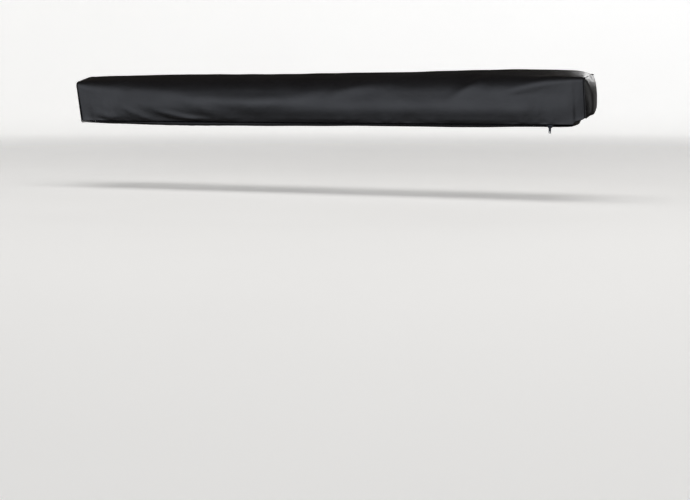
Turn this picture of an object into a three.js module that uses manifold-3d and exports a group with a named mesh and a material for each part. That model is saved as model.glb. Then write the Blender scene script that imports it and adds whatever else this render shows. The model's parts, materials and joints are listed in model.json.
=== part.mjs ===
import * as THREE from 'three';
import { mergeVertices } from 'three/addons/utils/BufferGeometryUtils.js';
import Module from 'manifold-3d';

// A vehicle side awning, stowed in its zipped travel bag. X runs along the bag, -Y points away
// from the vehicle and +Z up. The origin is at mid-length on the rail's back plane, level with the
// undersides of the two mounting brackets.

const wasm = await Module();
wasm.setup();

// Driving sizes, in millimetres. The bag's length sets every length along it, and the rolled
// canopy sets the bag's depth and height.
const bag_length = 2112;
const belly_drop = 45;
const rail_height = 108;
const rail_depth = 18;
const bar_height = 60;
const roll_turns = 9;
const bracket_insets = { front: 820, rear: 410 };

// Clearances and stock
const clearance = 0.3;
const running_clearance = 0.4;
const fabric = 1.2;
const plate = 3;
const tube_wall = 1.2;
const overrun = 2;
const tube_sides = 16;
const small_sides = 12;

// Lengths along the bag, each from the one that holds it
const rail_inset = 16;
const pivot_inset = 135;
const bar_inset = 60;
const canopy_inset = 20;
const rail_length = bag_length - 2 * rail_inset;
const rafter_pivot_span = rail_length - 2 * pivot_inset;
const bar_length = rail_length - 2 * bar_inset;
const canopy_width = bar_length - 2 * canopy_inset;
const bracket_places = {
  front: bracket_insets.front - rail_length / 2,
  rear: rail_length / 2 - bracket_insets.rear,
};

// Front bar and the legs folded in it
const bar_wall = 1.8;
const leg_gap = 0.8;
const leg_side_room = 1.9;
const leg_collar_stock = 2.3;
const leg_lane = (bar_height / 2 - bar_wall) / 2;
const leg_collar_radius = leg_lane - leg_gap;
const bar_depth = 2 * (leg_collar_radius + leg_side_room + bar_wall);

// The canopy's roll round the bar
const canvas = 1;
const roll_pitch = 2.1;
const roll_start_gap = 0.8;
const roll_growth = roll_start_gap + roll_pitch * roll_turns + canvas;

// The stack from the belly up: rafters, roll, rail and hinge
const collar_radius = 15;
const arm_rise = 14;
const roll_rise = 16.3;
const rail_rise = 23.3;
const hinge_rise = 10;
const arm_z = arm_rise + collar_radius - belly_drop;
const roll_z = arm_z + collar_radius + roll_rise + roll_growth + bar_height / 2;
const rail_top = roll_z + bar_height / 2 + roll_growth + rail_rise;
const rail_bottom = rail_top - rail_height;
const hinge_height = rail_top + hinge_rise;

// The stack from the rail's back outwards
const hinge_y = -5;
const back_room = 6.5;
const lane_gap = 1;
const roll_room = 10.3;
const bag_slack = 46.3;
const back_lane_y = -collar_radius - back_room;
const lane_pitch = 2 * collar_radius + lane_gap;
const roll_y = -rail_depth - roll_room - roll_growth - bar_depth / 2;
const bag_depth = bar_depth / 2 + roll_growth + bag_slack - roll_y;

// Finishes
const black_vinyl = { color: '#1b1b1d', roughness: 0.42, metalness: 0 };
const welt_vinyl = { color: '#121214', roughness: 0.5, metalness: 0 };
const grey_canvas = { color: '#8b8a80', roughness: 0.9, metalness: 0 };
const black_webbing = { color: '#202022', roughness: 0.85, metalness: 0 };
const black_nylon = { color: '#1d1d1f', roughness: 0.6, metalness: 0 };
const anodised = { color: '#b9bcc0', roughness: 0.38, metalness: 0.9 };
const black_steel = { color: '#1e1f21', roughness: 0.5, metalness: 0.4 };
const zinc = { color: '#a9acb0', roughness: 0.35, metalness: 0.95 };

const awning = new THREE.Group();

function add(name, geometry, finish) {
  const mesh = new THREE.Mesh(geometry, new THREE.MeshStandardMaterial(finish));
  mesh.name = name;
  awning.add(mesh);
}

// Six times the enclosed volume, negative when the faces point inwards
function signedVolume(geometry) {
  const at = geometry.attributes.position;
  const index = geometry.index;
  const corner = [new THREE.Vector3(), new THREE.Vector3(), new THREE.Vector3()];
  let sum = 0;
  for (let i = 0; i < index.count; i += 3) {
    corner.forEach((point, k) => point.fromBufferAttribute(at, index.getX(i + k)));
    sum += corner[0].dot(corner[1].clone().cross(corner[2]));
  }
  return sum;
}

// Merges shared corners and turns the faces outwards
function closed(geometry) {
  const bare = geometry.clone();
  bare.deleteAttribute('normal');
  bare.deleteAttribute('uv');
  const merged = mergeVertices(bare);
  if (signedVolume(merged) < 0) {
    const index = merged.index;
    for (let i = 0; i < index.count; i += 3) {
      const first = index.getX(i);
      index.setX(i, index.getX(i + 1));
      index.setX(i + 1, first);
    }
  }
  return merged;
}

function toManifold(geometry) {
  const body = closed(geometry);
  return new wasm.Manifold(new wasm.Mesh({
    numProp: 3,
    vertProperties: new Float32Array(body.attributes.position.array),
    triVerts: new Uint32Array(body.index.array),
  }));
}

function fromManifold(solid) {
  const mesh = solid.getMesh();
  const geometry = new THREE.BufferGeometry();
  geometry.setAttribute('position', new THREE.Float32BufferAttribute(mesh.vertProperties, 3));
  geometry.setIndex(new THREE.Uint32BufferAttribute(mesh.triVerts, 1));
  return geometry;
}

function join(...pieces) {
  return fromManifold(pieces.map(toManifold).reduce((sum, piece) => sum.add(piece)));
}

function cut(body, ...tools) {
  return fromManifold(tools.map(toManifold).reduce((rest, tool) => rest.subtract(tool), toManifold(body)));
}

function mirrored(geometry) {
  return closed(geometry.clone().scale(-1, 1, 1));
}

function block(x, y, z) {
  const box = new THREE.BoxGeometry(x[1] - x[0], y[1] - y[0], z[1] - z[0]);
  return box.translate((x[0] + x[1]) / 2, (y[0] + y[1]) / 2, (z[0] + z[1]) / 2);
}

function rodX(radius, x, y, z, sides = small_sides) {
  const rod = new THREE.CylinderGeometry(radius, radius, x[1] - x[0], sides);
  return rod.rotateZ(-Math.PI / 2).translate((x[0] + x[1]) / 2, y, z);
}

function rodY(radius, x, y, z, sides = small_sides) {
  const rod = new THREE.CylinderGeometry(radius, radius, y[1] - y[0], sides);
  return rod.translate(x, (y[0] + y[1]) / 2, z);
}

function rodZ(radius, x, y, z, sides = small_sides) {
  const rod = new THREE.CylinderGeometry(radius, radius, z[1] - z[0], sides);
  return rod.rotateX(Math.PI / 2).translate(x, y, (z[0] + z[1]) / 2);
}

// Extrudes an outline of (y, z) points along X
function extrudeX(outline, x, holes = []) {
  const shape = new THREE.Shape(outline);
  shape.holes = holes.map((hole) => new THREE.Path(hole));
  const solid = new THREE.ExtrudeGeometry(shape, { depth: x[1] - x[0], bevelEnabled: false });
  const cycle = new THREE.Matrix4().makeBasis(
    new THREE.Vector3(0, 1, 0),
    new THREE.Vector3(0, 0, 1),
    new THREE.Vector3(1, 0, 0),
  );
  return closed(solid.applyMatrix4(cycle).translate(x[0], 0, 0));
}

// Turns a closed profile of (x, radius) pairs about an axis along X
function turnX(profile, y, z, sides = tube_sides) {
  const points = profile.map(([x, radius]) => new THREE.Vector2(radius, x));
  points.push(points[0].clone());
  return closed(new THREE.LatheGeometry(points, sides).rotateZ(-Math.PI / 2).translate(0, y, z));
}

function tubeX(radius, wall, x, y, z) {
  const bore = radius - wall;
  return turnX([[x[0], bore], [x[1], bore], [x[1], radius], [x[0], radius]], y, z);
}

// Joins rings of equal point counts into one skin and closes it with a cap at each end
function loft(rings) {
  const count = rings[0].length;
  const index = [];
  for (let ring = 0; ring < rings.length - 1; ring += 1) {
    for (let i = 0; i < count; i += 1) {
      const a = ring * count + i;
      const b = ring * count + (i + 1) % count;
      index.push(a, b, b + count, a, b + count, a + count);
    }
  }
  const last = (rings.length - 1) * count;
  capFaces(rings[0]).forEach(([a, b, c]) => index.push(a, c, b));
  capFaces(rings[rings.length - 1]).forEach(([a, b, c]) => index.push(last + a, last + b, last + c));
  const geometry = new THREE.BufferGeometry();
  const positions = rings.flat().flatMap((point) => point.toArray());
  geometry.setAttribute('position', new THREE.Float32BufferAttribute(positions, 3));
  geometry.setIndex(index);
  return closed(geometry);
}

// Triangles that fill a ring, wound the way that the ring runs
function capFaces(ring) {
  const flat = ring.map((point) => new THREE.Vector2(point.y, point.z));
  const turn = Math.sign(THREE.ShapeUtils.area(flat));
  return THREE.ShapeUtils.triangulateShape(flat, []).map((face) => {
    const same = Math.sign(THREE.ShapeUtils.area(face.map((i) => flat[i]))) === turn;
    return same ? face : [face[0], face[2], face[1]];
  });
}

// A line through corners [y, z, rounding, steps]; a corner with rounding becomes a smooth bend
function roundedLine(corners) {
  const points = corners.map(([y, z]) => new THREE.Vector2(y, z));
  return corners.flatMap(([, , rounding, steps], i) => {
    if (!rounding) {
      return [points[i]];
    }
    const start = points[i - 1].clone().sub(points[i]).setLength(rounding).add(points[i]);
    const end = points[i + 1].clone().sub(points[i]).setLength(rounding).add(points[i]);
    return new THREE.QuadraticBezierCurve(start, points[i], end).getPoints(steps);
  });
}

// Closes a line into a band of the given thickness on its left-hand side
function band(line, thickness) {
  const inner = line.map((point, i) => {
    const before = line[Math.max(i - 1, 0)];
    const after = line[Math.min(i + 1, line.length - 1)];
    const along = after.clone().sub(before).normalize();
    return new THREE.Vector2(point.x - along.y * thickness, point.y + along.x * thickness);
  });
  return [...line, ...inner.reverse()];
}

function ringAt(x, outline) {
  return outline.map((point) => new THREE.Vector3(x, point.x, point.y));
}

// Points of an arc about (y, z), from one angle to another in degrees
function arc(y, z, radius, from, to, steps) {
  return Array.from({ length: steps + 1 }, (_, i) => {
    const angle = THREE.MathUtils.degToRad(from + (to - from) * i / steps);
    return new THREE.Vector2(y + radius * Math.cos(angle), z + radius * Math.sin(angle));
  });
}

// Shape of the closed bag along its length. Each row holds shares: place of half the length, rise
// of the crown, drop of the front top edge, its reach out, its rounding, the belly's depth, the
// rounding of the heel and its lift on the way from the belly to the rail's lower strip.
const crown_rise = 20;
const crown_run = 36;
const crown_overshoot_share = 0.12;
const edge_drop = 30;
const edge_rounding = 86;
const heel_rounding = 30;
const strip_drop = 12;
const strip_end = rail_bottom - strip_drop;
const bag_row_shares = [
  [-1.000, 0.02, 0.80, 1.000, 0.19, 0.78, 0.60, 0],
  [-0.966, 0.12, 0.77, 1.000, 0.22, 0.83, 0.50, 0],
  [-0.909, 0.22, 0.77, 1.007, 0.36, 0.87, 0.40, 0],
  [-0.830, 0.32, 0.84, 1.020, 0.54, 0.91, 0.30, 0],
  [-0.701, 0.42, 0.98, 1.048, 0.74, 0.98, 0.30, 0],
  [-0.530, 0.45, 1.08, 1.070, 0.89, 1.00, 0.30, 0],
  [-0.341, 0.48, 1.16, 1.082, 0.98, 0.99, 0.30, 0],
  [-0.170, 0.50, 1.18, 1.086, 1.00, 0.97, 0.30, 0],
  [0.000, 0.56, 1.12, 1.080, 0.94, 0.93, 0.30, 0],
  [0.170, 0.62, 1.05, 1.068, 0.85, 0.89, 0.30, 0],
  [0.341, 0.68, 0.96, 1.056, 0.77, 0.90, 0.30, 0],
  [0.492, 0.93, 0.88, 1.048, 0.72, 0.91, 0.30, 0],
  [0.625, 1.00, 0.75, 1.036, 0.60, 0.91, 0.30, 0],
  [0.758, 1.05, 0.66, 1.024, 0.51, 0.85, 0.30, 0],
  [0.843, 0.97, 0.57, 1.013, 0.38, 0.83, 0.35, 0],
  [0.900, 0.92, 0.48, 1.005, 0.28, 0.83, 0.50, 0.016],
  [0.938, 0.87, 0.45, 1.000, 0.21, 0.61, 0.70, 0.095],
  [0.966, 0.74, 0.43, 1.000, 0.18, 0.37, 0.80, 0.27],
  [0.985, 0.48, 0.43, 1.000, 0.17, 0.25, 0.80, 0.461],
  [1.000, 0.15, 0.43, 1.000, 0.16, 0.12, 0.80, 0.709],
];
const bag_rows = bag_row_shares.map(([place, rise, drop, reach, rounding, belly, heel, lift]) => ({
  x: place * bag_length / 2,
  crown: hinge_height + rise * crown_rise,
  edge_y: -reach * bag_depth,
  edge_z: hinge_height - drop * edge_drop,
  rounding: rounding * edge_rounding,
  belly: -belly * belly_drop,
  heel: heel * heel_rounding,
  back_z: THREE.MathUtils.lerp(-belly * belly_drop, strip_end, lift),
}));

// The zip runs straight along the front, a little above the bottom edge
const zip_tuck = 34.7;
const zip_rise = 14;
const zip_y = zip_tuck - bag_depth;
const zip_z = zip_rise - belly_drop;
const zip_band = 7;
const zip_end_insets = [21, 111];
const zip_run = [zip_end_insets[0] - bag_length / 2, bag_length / 2 - zip_end_insets[1]];
const chin_height = 11;
const chin_rounding = 9;
const lip_least = 1.5;
const lip_rounding = 9;
const heel_most_share = 0.9;
const seam_gap = 0.5;
const back_y = -1.6;
const bend_steps = 3;
const crown_steps = 4;
const edge_steps = 6;

function lipTop(row) {
  return Math.max(zip_z - zip_band / 2, row.belly + lip_least);
}

function flapBottom(row) {
  return Math.max(zip_z + zip_band / 2, lipTop(row) + seam_gap);
}

function crownPeak(row) {
  return row.crown + (row.crown - hinge_height) * crown_overshoot_share;
}

function heelRounding(row) {
  return Math.min(row.heel, (strip_end - seam_gap - row.back_z) * heel_most_share);
}

// The moving part of the bag's section: from the hinge over the crown and down to the zip
function flapLine(row) {
  return roundedLine([
    [hinge_y - seam_gap - clearance, hinge_height],
    [hinge_y - crown_run, crownPeak(row), crown_run / 2, crown_steps],
    [row.edge_y, row.edge_z, row.rounding, edge_steps],
    [zip_y, flapBottom(row) + chin_height, chin_rounding, bend_steps],
    [zip_y, flapBottom(row)],
  ]);
}

// The fixed part: from the rail's lower strip down the back and under to the front lip
function bottomLine(row) {
  return roundedLine([
    [zip_y, lipTop(row)],
    [zip_y, row.belly, Math.min(lip_rounding, lipTop(row) - row.belly), bend_steps],
    [back_y, row.back_z, heelRounding(row), bend_steps],
    [back_y, strip_end - seam_gap],
  ]);
}

function bagPanel(lineOf) {
  return loft(bag_rows.map((row) => ringAt(row.x, band(lineOf(row), fabric))));
}

// The end panels are domed outwards inside a welt that follows the section's edge
const welt_radius = 2;
const welt_sides = 6;
const welt_steps = 36;
const welt_gap = 0.8;
const dome = 14;
const dome_power = 4;
const dome_shares = [0.2, 0.65, 0.86, 1];
const end_centre_shares = { depth: 0.4667, height: 0.3667 };
const end_centre = {
  y: -bag_depth * end_centre_shares.depth,
  z: hinge_height * end_centre_shares.height,
};
const foot_rounding = 6;

function endLine(row, inset) {
  return roundedLine([
    [hinge_y - seam_gap - inset, hinge_height - inset],
    [hinge_y - crown_run, crownPeak(row) - inset, crown_run / 2, crown_steps],
    [row.edge_y + inset, row.edge_z - inset, row.rounding, edge_steps],
    [zip_y + inset, row.belly + inset, foot_rounding, bend_steps],
    [back_y - inset, row.back_z + inset, heelRounding(row) / 2, bend_steps],
    [back_y - inset, strip_end + foot_rounding],
  ]);
}

function endWelt(row) {
  const x = row.x + Math.sign(row.x) * (welt_radius + seam_gap);
  const path = new THREE.CatmullRomCurve3(ringAt(x, endLine(row, 0)), false, 'centripetal');
  const section = new THREE.Shape(arc(0, 0, welt_radius, 0, 360 - 360 / welt_sides, welt_sides - 1));
  return closed(new THREE.ExtrudeGeometry(section, { extrudePath: path, steps: welt_steps }));
}

function endPanel(row) {
  const side = Math.sign(row.x);
  const outline = endLine(row, welt_radius + welt_gap);
  const ringOf = (share, lift) => outline.map((point) => new THREE.Vector3(
    row.x + side * (welt_radius + dome * (1 - share ** dome_power) + lift),
    THREE.MathUtils.lerp(end_centre.y, point.x, share),
    THREE.MathUtils.lerp(end_centre.z, point.y, share),
  ));
  const outer = dome_shares.map((share) => ringOf(share, fabric));
  const inner = dome_shares.map((share) => ringOf(share, 0)).reverse();
  return loft([...outer, ...inner]);
}

function addBag() {
  add('cover_front_panel', bagPanel(flapLine), black_vinyl);
  add('cover_bottom_panel', bagPanel(bottomLine), black_vinyl);
  const ends = { left: bag_rows[0], right: bag_rows[bag_rows.length - 1] };
  Object.entries(ends).forEach(([side, row]) => {
    add(`cover_end_panel_${side}`, endPanel(row), black_vinyl);
    add(`cover_end_welt_${side}`, endWelt(row), welt_vinyl);
  });
}

// Zip: a nylon coil on the edge of each tape, a slider astride the lower one and its pull
const coil_radius = 1;
const coil_gap = 0.8;
const coil_y = zip_y + fabric + clearance + coil_radius / 2;
const upper_tape_height = 8;
const lower_tape_height = 0.5;
const coil_steps = 6;
const coil_seat_angle = 60;
const slider_length = 16;
const slider_inset = 15;
const slider_x = zip_run[1] - slider_inset;
const slider_front_height = 10;
const slider_back_height = 3.5;
const slider_wall = 2;
const slider_bridge = 1;
const pull_barrel_radius = 2.2;
const pull_pin_radius = 0.9;
const pull_length = 24;
const pull_width = 9;
const pull_thickness = 1.6;
const pull_drop = 5;
const eyelet_share = 0.25;

function zipTape(sign, tape_height) {
  const coil_z = coil_gap + coil_radius;
  const coil = arc(0, 0, coil_radius, 180 + coil_seat_angle, -coil_seat_angle, coil_steps);
  const half_tape = -coil[0].x;
  const outline = [
    ...coil.map((point) => new THREE.Vector2(point.x, coil_z - point.y)),
    new THREE.Vector2(half_tape, coil_z + coil_radius + tape_height),
    new THREE.Vector2(-half_tape, coil_z + coil_radius + tape_height),
  ];
  const placed = outline.map((point) => new THREE.Vector2(coil_y + point.x, zip_z + sign * point.y));
  return extrudeX(placed, zip_run);
}

function slider() {
  const x = [slider_x - slider_length / 2, slider_x + slider_length / 2];
  const top = zip_z + slider_bridge / 2;
  const front = [zip_y - clearance - slider_wall, zip_y - clearance];
  const back_face = coil_y + coil_radius + clearance;
  const back = [back_face, back_face + slider_wall];
  const pin_y = pullPinY();
  const lug_gap = pull_width / 2 + running_clearance;
  const lug_height = [zip_z - pull_drop - slider_wall, zip_z - pull_drop + slider_wall];
  const lugs = [-1, 1].map((side) => block(
    [slider_x + side * lug_gap, slider_x + side * (slider_length / 2)].sort((a, b) => a - b),
    [pin_y - slider_wall, front[1]],
    lug_height,
  ));
  return join(
    block(x, front, [top - slider_front_height, top]),
    block(x, back, [top - slider_back_height, top]),
    block(x, [front[0], back[1]], [top - slider_bridge, top]),
    ...lugs,
    rodX(pull_pin_radius, [x[0] + overrun, x[1] - overrun], pin_y, zip_z - pull_drop),
  );
}

function pullPinY() {
  return zip_y - clearance - slider_wall - clearance - pull_barrel_radius;
}

function zipPull() {
  const pin_y = pullPinY();
  const pin_z = zip_z - pull_drop;
  const x = [slider_x - pull_width / 2, slider_x + pull_width / 2];
  const tab = block(
    x,
    [pin_y - pull_thickness / 2, pin_y + pull_thickness / 2],
    [pin_z - pull_length, pin_z],
  );
  const barrel = rodX(pull_barrel_radius, x, pin_y, pin_z);
  const bore = rodX(pull_pin_radius + clearance, [x[0] - overrun, x[1] + overrun], pin_y, pin_z);
  const eyelet_z = pin_z - pull_length + pull_width / 2;
  const eyelet = rodY(pull_width * eyelet_share, slider_x, [pin_y - overrun, pin_y + overrun], eyelet_z);
  return cut(join(tab, barrel), bore, eyelet);
}

function addZip() {
  add('zip_upper_tape', zipTape(1, upper_tape_height), black_nylon);
  add('zip_lower_tape', zipTape(-1, lower_tape_height), black_nylon);
  add('zip_slider', slider(), zinc);
  add('zip_pull', zipPull(), zinc);
}

// Backing rail: an extrusion with two T-slots behind and three round grooves for beaded edges
const groove_radius = 3.4;
const groove_depth = 5;
const groove_mouth_angle = 28;
const bead_radius = 2.7;
const canopy_groove_drop = 14;
const canopy_groove_z = rail_top - canopy_groove_drop;
const slot_mouth = 9;
const slot_width = 17;
const slot_lip = 2.5;
const slot_depth = 9;
const slot_rises = [28, 62];
const slot_places = slot_rises.map((rise) => rail_bottom + rise);
const rail_wall = 2.2;
const chamber_y = [rail_wall - rail_depth, -slot_depth - rail_wall];
const chamber_rises = [14, 44, 50];
const chamber_web = 6.6;
const [lower_start, lower_end, upper_start] = chamber_rises.map((rise) => rail_bottom + rise);
const upper_end = canopy_groove_z - groove_radius - chamber_web;
const chamber_heights = [[lower_start, lower_end], [upper_start, upper_end]];

function groove(y, z, direction) {
  const angle = THREE.MathUtils.degToRad(direction);
  const outward = new THREE.Vector2(Math.cos(angle), Math.sin(angle));
  const half = groove_radius * Math.sin(THREE.MathUtils.degToRad(groove_mouth_angle));
  const face = new THREE.Vector2(y, z).addScaledVector(outward, groove_depth);
  const across = new THREE.Vector2(outward.y, -outward.x).multiplyScalar(half);
  const start = direction - groove_mouth_angle;
  const sweep = 360 - 2 * groove_mouth_angle;
  return [
    face.clone().add(across),
    ...arc(y, z, groove_radius, start, start - sweep, small_sides),
    face.clone().sub(across),
  ];
}

function slotPoints(z) {
  const corners = [
    [0, -slot_mouth],
    [-slot_lip, -slot_mouth],
    [-slot_lip, -slot_width],
    [-slot_depth, -slot_width],
    [-slot_depth, slot_width],
    [-slot_lip, slot_width],
    [-slot_lip, slot_mouth],
    [0, slot_mouth],
  ];
  return corners.map(([y, width]) => new THREE.Vector2(y, z + width / 2));
}

function backingRail() {
  const corner = (y, z) => new THREE.Vector2(y, z);
  const outline = [
    corner(0, rail_bottom),
    ...slot_places.flatMap(slotPoints),
    corner(0, rail_top),
    ...groove(hinge_y, rail_top - groove_depth, 90),
    corner(-rail_depth, rail_top),
    ...groove(-rail_depth + groove_depth, canopy_groove_z, 180),
    corner(-rail_depth, rail_bottom),
    ...groove(hinge_y, rail_bottom + groove_depth, 270),
  ];
  const chambers = chamber_heights.map(([low, high]) => [
    corner(chamber_y[0], low),
    corner(chamber_y[1], low),
    corner(chamber_y[1], high),
    corner(chamber_y[0], high),
  ]);
  const body = extrudeX(outline, [-rail_length / 2, rail_length / 2], chambers);
  const holes = bracketScrewPlaces().map(([x, z]) => rodY(
    screw_radius + clearance,
    x,
    [-rail_depth - overrun, chamber_y[0] + overrun],
    z,
  ));
  return cut(body, ...holes);
}

const cap_thickness = 4;
const cap_peg = 14;

function railEndCap() {
  const face = rail_length / 2 + clearance;
  const cap = block([face, face + cap_thickness], [-rail_depth, 0], [rail_bottom, rail_top]);
  const pegs = chamber_heights.map(([low, high]) => block(
    [face - cap_peg, face + overrun],
    [chamber_y[0] + clearance, chamber_y[1] - clearance],
    [low + clearance, high - clearance],
  ));
  return join(cap, ...pegs);
}

// Beaded strips hold the cover in the rail's top and bottom grooves
const strip_lap = 4;

function beadStrip(tape_line, bead_z) {
  const x = [-rail_length / 2, rail_length / 2];
  const points = tape_line.map(([y, z]) => new THREE.Vector2(y - fabric / 2, z));
  return join(extrudeX(band(points, fabric), x), rodX(bead_radius, x, hinge_y, bead_z));
}

function addBeadStrips() {
  const top_bead = rail_top - groove_depth;
  const top_line = [[hinge_y, hinge_height - fabric], [hinge_y, top_bead]];
  add('cover_top_bead_strip', beadStrip(top_line, top_bead), black_vinyl);
  const bottom_bead = rail_bottom + groove_depth;
  const tape_y = back_y - fabric / 2;
  const bottom_line = [
    [hinge_y, bottom_bead],
    [hinge_y, rail_bottom - fabric],
    [tape_y, strip_end + strip_lap],
    [tape_y, strip_end],
  ];
  add('cover_bottom_bead_strip', beadStrip(bottom_line, bottom_bead), black_vinyl);
}

function addRail() {
  add('backing_rail', backingRail(), anodised);
  add('rail_end_cap_right', closed(railEndCap()), black_nylon);
  add('rail_end_cap_left', mirrored(railEndCap()), black_nylon);
}

// Mounting brackets: folded steel angles, each held by a T-bolt in both slots of the rail
const bracket_width = 80;
const bracket_cover = 80;
const bracket_height = rail_bottom + bracket_cover;
const bracket_reach = 80;
const bracket_stock = 4;
const gusset_share = 0.55;
const bolt_radius = 4;
const bolt_length = 21;
const bolt_head = { width: 15.6, height: 13, depth: 5.4 };
const washer_radius = 9;
const washer_stock = 1.6;
const nut_radius = 7.5;
const nut_height = 6.5;
const nut_sides = 6;
const rack_slot = { width: 9, length: 34, spacing: 40, inset: 28 };
const bracket_face = clearance + bracket_stock;

function slotCutter(x) {
  const ends = [rack_slot.inset, rack_slot.inset + rack_slot.length];
  const z = [-overrun, bracket_stock + overrun];
  const radius = rack_slot.width / 2;
  return join(
    block([x - radius, x + radius], ends, z),
    ...ends.map((y) => rodZ(radius, x, y, z)),
  );
}

function gusset(x) {
  const leg = [bracket_face - overrun, bracket_reach * gusset_share];
  const outline = [
    new THREE.Vector2(leg[0], bracket_stock - overrun),
    new THREE.Vector2(leg[1], bracket_stock - overrun),
    new THREE.Vector2(leg[1], bracket_stock),
    new THREE.Vector2(bracket_face, bracket_height * gusset_share),
    new THREE.Vector2(leg[0], bracket_height * gusset_share),
  ];
  return extrudeX(outline, [x, x + bracket_stock]);
}

function mountingBracket(x) {
  const width = [x - bracket_width / 2, x + bracket_width / 2];
  const bolt_holes = slot_places.map((z) => rodY(
    bolt_radius + running_clearance,
    x,
    [clearance - overrun, bracket_face + overrun],
    z,
  ));
  const body = join(
    block(width, [clearance, bracket_face], [0, bracket_height]),
    block(width, [clearance, bracket_reach], [0, bracket_stock]),
    gusset(width[0]),
    gusset(width[1] - bracket_stock),
  );
  const slots = [-1, 1].map((side) => slotCutter(x + side * rack_slot.spacing / 2));
  return cut(body, ...bolt_holes, ...slots);
}

// A T-bolt in a slot of the rail, tightened with its washer and nut behind the bracket
function bracketBolt(x, z) {
  const head_back = -slot_lip - clearance;
  const washer_face = bracket_face + clearance;
  const nut_face = washer_face + washer_stock;
  const head = block(
    [x - bolt_head.width / 2, x + bolt_head.width / 2],
    [head_back - bolt_head.depth, head_back],
    [z - bolt_head.height / 2, z + bolt_head.height / 2],
  );
  return join(
    head,
    rodY(bolt_radius, x, [head_back - overrun, head_back + bolt_length], z),
    rodY(washer_radius, x, [washer_face, nut_face], z, tube_sides),
    rodY(nut_radius, x, [nut_face, nut_face + nut_height], z, nut_sides),
  );
}

function addMountingBrackets() {
  Object.entries(bracket_places).forEach(([name, x]) => {
    add(`mounting_bracket_${name}`, mountingBracket(x), black_steel);
    add(`bracket_bolt_${name}_lower`, bracketBolt(x, slot_places[0]), zinc);
    add(`bracket_bolt_${name}_upper`, bracketBolt(x, slot_places[1]), zinc);
  });
}

// Rafter brackets: folded plates screwed to the rail's face, each a clevis round a pivot pin
const pivot_x = rafter_pivot_span / 2;
const pivot_radius = 4;
const pin_head_radius = 6.5;
const pin_head_height = 2.5;
const knuckle_radius = 12;
const knuckle_rise = 13.7;
const knuckle_fall = 11.5;
const knuckle_top = arm_z + knuckle_rise;
const knuckle_bottom = arm_z - knuckle_fall;
const clevis_margin = 2;
const bracket_foot = 60;
const bracket_rise = 66;
const bracket_top = rail_bottom + bracket_rise;
const screw_radius = 3;
const screw_head_radius = 5.5;
const screw_head_height = 3;
const screw_rises = [28, 58];
const screw_heights = screw_rises.map((rise) => rail_bottom + rise);
const rafters = {
  left: { lane: back_lane_y, side: -1 },
  right: { lane: back_lane_y - lane_pitch, side: 1 },
};

function clevisReach() {
  return knuckle_radius + clevis_margin;
}

function screwX() {
  return pivot_x + clevisReach() + plate + bracket_foot / 2;
}

function bracketScrewPlaces() {
  return [-1, 1].flatMap((side) => screw_heights.map((z) => [side * screwX(), z]));
}

function rafterBracket(lane) {
  const reach = clevisReach();
  const shelf = [knuckle_top + clearance, knuckle_top + clearance + plate];
  const sole = [knuckle_bottom - clearance - plate, knuckle_bottom - clearance];
  const web_x = [pivot_x + reach, pivot_x + reach + plate];
  const foot_x = [web_x[0], web_x[1] + bracket_foot];
  const face = [-rail_depth - clearance - plate, -rail_depth - clearance];
  const depth = [lane - reach, lane + reach];
  const shelf_depth = [Math.min(depth[0], face[0]), Math.max(depth[1], face[1])];
  const body = join(
    block(foot_x, face, [shelf[0], bracket_top]),
    block([pivot_x - reach, foot_x[1]], shelf_depth, shelf),
    block(web_x, depth, [sole[0], shelf[1]]),
    block([pivot_x - reach, web_x[1]], depth, sole),
  );
  const pin_hole = rodZ(pivot_radius + clearance, pivot_x, lane, [sole[0] - overrun, shelf[1] + overrun]);
  const screw_holes = screw_heights.map((z) => rodY(
    screw_radius + clearance,
    screwX(),
    [face[0] - overrun, face[1] + overrun],
    z,
  ));
  return cut(body, pin_hole, ...screw_holes);
}

function pivotPin(lane) {
  const seat = knuckle_top + clearance + plate + clearance;
  const foot = knuckle_bottom - clearance - plate;
  return join(
    rodZ(pivot_radius, pivot_x, lane, [foot, seat + overrun]),
    rodZ(pin_head_radius, pivot_x, lane, [seat, seat + pin_head_height]),
  );
}

function bracketScrew(z) {
  const seat = -rail_depth - clearance - plate - clearance;
  const tip = chamber_y[1] - running_clearance;
  return join(
    rodY(screw_head_radius, screwX(), [seat - screw_head_height, seat], z),
    rodY(screw_radius, screwX(), [seat - overrun, tip], z),
  );
}

function onSide(geometry, side) {
  return side > 0 ? closed(geometry) : mirrored(geometry);
}

function addRafterBrackets() {
  Object.entries(rafters).forEach(([name, { lane, side }]) => {
    add(`rafter_bracket_${name}`, onSide(rafterBracket(lane), side), black_steel);
    add(`rafter_pivot_pin_${name}`, onSide(pivotPin(lane), side), zinc);
    add(`rafter_bracket_screw_${name}_lower`, onSide(bracketScrew(screw_heights[0]), side), zinc);
    add(`rafter_bracket_screw_${name}_upper`, onSide(bracketScrew(screw_heights[1]), side), zinc);
  });
}

// Rafters: three telescoping tubes, each joint locked by a twist collar
const rafter_radius = 12.5;
const rafter_radii = [0, 1, 2].map((stage) => rafter_radius - stage * (tube_wall + running_clearance));
const tube_starts = [30, 60, 130];
const middle_insets = [215, 178, 158];
const rafter_spans = tube_starts.map((start, stage) => [start, pivot_x - middle_insets[stage]]);
const collar_length = 32;
const collar_overlap = 18;
const collar_bevel = 1.5;
const collar_clearance = 0.5;
const plug_length = 28;
const tip_length = 24;
const tip_width = 17;
const tip_hole_radius = 4;

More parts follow.
